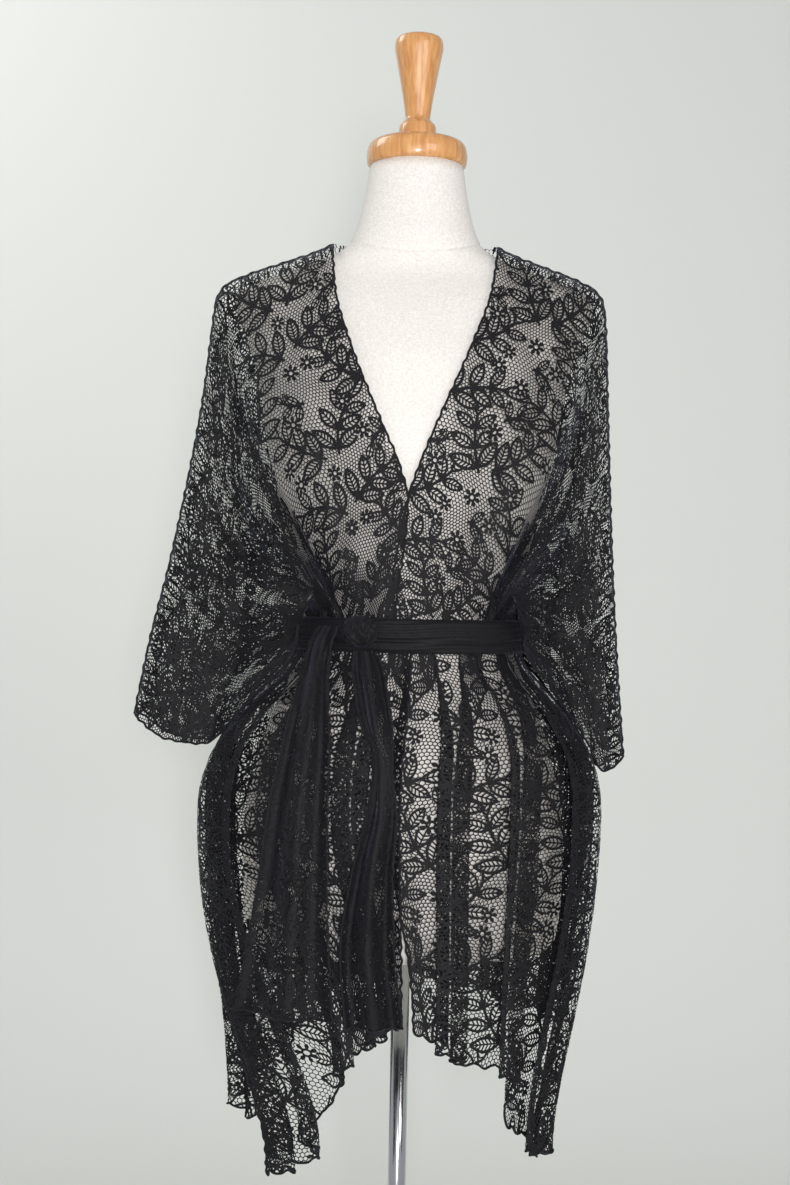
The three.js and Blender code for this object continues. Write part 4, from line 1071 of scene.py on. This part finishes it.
def tail_surface(side):
    """Sash end as a function of two shares: a strip folded in cosine waves across its width, turned
    about its own length, in front of the cloth below the sash."""
    table = SASH_TAILS[side][::-1]
    middle, width, fold, turn, out = (smooth_curve(table, 0, k) for k in range(1, 6))

    def surface(across, down):
        z = table[-1, 0] + down * (table[0, 0] - table[-1, 0])
        angle = np.radians(turn(z))
        flat = (across - 0.5) * width(z)
        wave = fold(z) * np.cos(2 * np.pi * TAIL_WAVES * (across - 0.5))
        x = middle(z) + flat * np.cos(angle) - wave * np.sin(angle)
        forward = out(z) + flat * np.sin(angle) + wave * np.cos(angle)
        near = ellipse_depth(x - skirt_middle(z), skirt_width(z), skirt_depth["front"](z))
        return np.stack([x, -near - forward, z], axis=-1)

    return surface, float(table[-1, 0] - table[0, 0])


def sash_band():
    """Section swept round the waist. Gathers ride on it as sines that wander along the band."""
    rise = np.linspace(-BAND_HALF_HEIGHT, BAND_HALF_HEIGHT, 31)
    thick = smooth_curve(BAND_PROFILE, 0, 1)(rise)
    angle = np.linspace(0, 2 * np.pi, 180, endpoint=False)
    turn, lift = np.meshgrid(angle, rise, indexing="ij")
    wander = 2.0 * np.sin(3 * turn) + 1.3 * np.sin(7 * turn + 1)
    gathers = GATHER_HEIGHT * np.sin(lift * 1.1 + wander)
    inward = smooth_step(BAND_HALF_HEIGHT, BAND_HALF_HEIGHT - 5, np.abs(lift))
    skin = np.maximum(thick[None, :] + gathers * inward, THINNEST_BAND)
    depth = np.where(np.sin(turn) < 0, form_depth["front"](WAIST), form_depth["back"](WAIST))

    def round_waist(out):
        reach = BAND_CLEARANCE + out
        x = (form_width(WAIST) + reach) * np.cos(turn)
        return np.stack([x, (depth + reach) * np.sin(turn), WAIST + lift], axis=-1)

    rings = np.concatenate([round_waist(skin), round_waist(np.zeros_like(skin))[:, ::-1]], axis=1)
    count, steps = rings.shape[:2]
    index = np.arange(count * steps).reshape(count, steps)
    ahead, up = np.roll(index, -1, axis=0), np.roll(index, -1, axis=1)
    both = np.roll(ahead, -1, axis=1)
    faces = [np.stack([index, ahead, both], axis=-1), np.stack([index, both, up], axis=-1)]
    return rings.reshape(-1, 3), np.concatenate([face.reshape(-1, 3) for face in faces])


def sash_knot():
    """Rounded lump against the band, with ridges of gathered cloth that run over it aslant."""
    level, turn = np.meshgrid(np.linspace(0.06, 0.94, 40) * np.pi,
                              np.linspace(0, 2 * np.pi, 72, endpoint=False), indexing="ij")
    rise, girth = -np.cos(level), np.sin(level)
    ridge = 1 + 0.1 * np.sin(7 * turn + 6 * rise) + 0.05 * np.sin(15 * turn - 4 * rise)
    x = KNOT_X + 0.5 * KNOT_WIDTH * girth * ridge * np.cos(turn)
    lobe = KNOT_DEPTH * girth * ridge * np.maximum(-np.sin(turn), 0)
    out = BAND_CLEARANCE + BAND_THICKEST
    front = ellipse_depth(x, form_width(WAIST) + out, form_depth["front"](WAIST) + out)
    z = WAIST + KNOT_LIFT + 0.5 * KNOT_HEIGHT * rise
    return loft(np.stack([x, -front - SEAM_GAP - lobe, z], axis=-1))


lace_piece("gathered_sash_band", "sash_band", sash_band())
lace_piece("sash_knot_folds", "sash_knot", sash_knot())
for side in ("left", "right"):
    surface, drop = tail_surface(side)
    made = joined(
        lace_sheet(surface, TAIL_CLOTH, lambda share: np.full_like(share, drop), -1, TAIL_SHIFT),
        rolled_edge(surface, NO_STEPS, EDGE_STEPS, -1),
        rolled_edge(surface, ALL_STEPS, EDGE_STEPS, -1),
        rolled_edge(surface, EDGE_STEPS, ALL_STEPS, -1),
    )
    piece = lace_piece("lace_sash_tail_" + side, "sash_tail_" + side, made)

# %% [markdown]
# ## Camera, light and stage
# The camera stands where the photographer stood. Lace shows best when the light comes from near the
# camera, because what lies behind the holes is then lit through the same holes that one looks
# through. A weaker lamp from one side gives the folds their shape.

# %% Camera, light and stage
STAGE = "#e4e6e1"
CAMERA_PLACE = (-0.014, -1.70, 1.016)
CAMERA_LENS = 49.2
CAMERA_ROLL = math.radians(-1.14)
camera = bpy.data.objects.new("camera", bpy.data.cameras.new("camera"))
camera.data.lens = CAMERA_LENS
camera.location = CAMERA_PLACE
camera.rotation_euler = (math.pi / 2, CAMERA_ROLL, 0)
bpy.context.scene.collection.objects.link(camera)
bpy.context.scene.camera = camera
bpy.context.scene.view_settings.view_transform = "Standard"


def area_light(name, place, target, size, watts, colour):
    """Soft box at a place, turned to a target."""
    light = bpy.data.lights.new(name, "AREA")
    light.size = size
    light.energy = watts
    light.color = linear(colour)[:3]
    lamp = bpy.data.objects.new(name, light)
    bpy.context.scene.collection.objects.link(lamp)
    lamp.location = place
    direction = Vector(target) - Vector(place)
    lamp.rotation_euler = direction.to_track_quat("-Z", "Y").to_euler()
    return lamp


area_light("key", (1.5, -2.3, 1.9), (0, 0, 1.0), 1.1, 14, "#fffaf4")
area_light("front fill", (0.06, -2.6, 1.06), (0, 0, 1.0), 0.3, 52, "#fbfbff")
area_light("wall wash", (-1.6, 0.4, 2.7), (0.3, 1.6, 1.0), 1.0, 16, "#fdfefa")


def cyclorama():
    """Floor that turns up into a wall through a quarter circle, as one strip."""
    turn = np.linspace(0, np.pi / 2, 24)
    radius, wall, front, top, half = 0.6, 1.6, -5.0, 4.0, 4.0
    y = np.concatenate([[front], wall - radius + radius * np.sin(turn), [wall]])
    z = np.concatenate([[0.0], radius - radius * np.cos(turn), [top]])
    left = np.stack([np.full_like(y, -half), y, z], axis=-1)
    right = np.stack([np.full_like(y, half), y, z], axis=-1)
    count = len(y)
    points = np.concatenate([left, right])
    index = np.arange(count - 1)
    faces = np.stack([index, index + count, index + count + 1, index + 1], axis=-1)
    return points, faces


stage_points, stage_faces = cyclorama()
stage_mesh = bpy.data.meshes.new("stage")
stage_mesh.from_pydata(stage_points.tolist(), [], stage_faces.tolist())
stage_mesh.polygons.foreach_set("use_smooth", np.ones(len(stage_faces), bool))
stage = bpy.data.objects.new("stage", stage_mesh)
bpy.context.scene.collection.objects.link(stage)


def pale_paper():
    """Pale matt paper that a camera behind it sees through: its back is clear to camera rays."""
    material, tree, shader = new_material("pale paper")
    set_sockets(shader, Base_Color=linear(STAGE), Roughness=0.95)
    behind = add_node(tree, "ShaderNodeNewGeometry").outputs["Backfacing"]
    seen = add_node(tree, "ShaderNodeLightPath").outputs["Is Camera Ray"]
    share = add_node(tree, "ShaderNodeMath", (("operation", "MULTIPLY"),))
    tree.links.new(behind, share.inputs[0])
    tree.links.new(seen, share.inputs[1])
    clear = add_node(tree, "ShaderNodeBsdfTransparent")
    mix = add_node(tree, "ShaderNodeMixShader", (), Fac=share.outputs["Value"])
    tree.links.new(shader.outputs["BSDF"], mix.inputs[1])
    tree.links.new(clear.outputs["BSDF"], mix.inputs[2])
    tree.links.new(mix.outputs["Shader"], tree.nodes["Material Output"].inputs["Surface"])
    return material


stage_mesh.materials.append(pale_paper())

world = bpy.data.worlds.new("soft room light")
world.use_nodes = True
world.node_tree.nodes["Background"].inputs["Color"].default_value = linear("#f2f4f7")
world.node_tree.nodes["Background"].inputs["Strength"].default_value = 0.42
bpy.context.scene.world = world
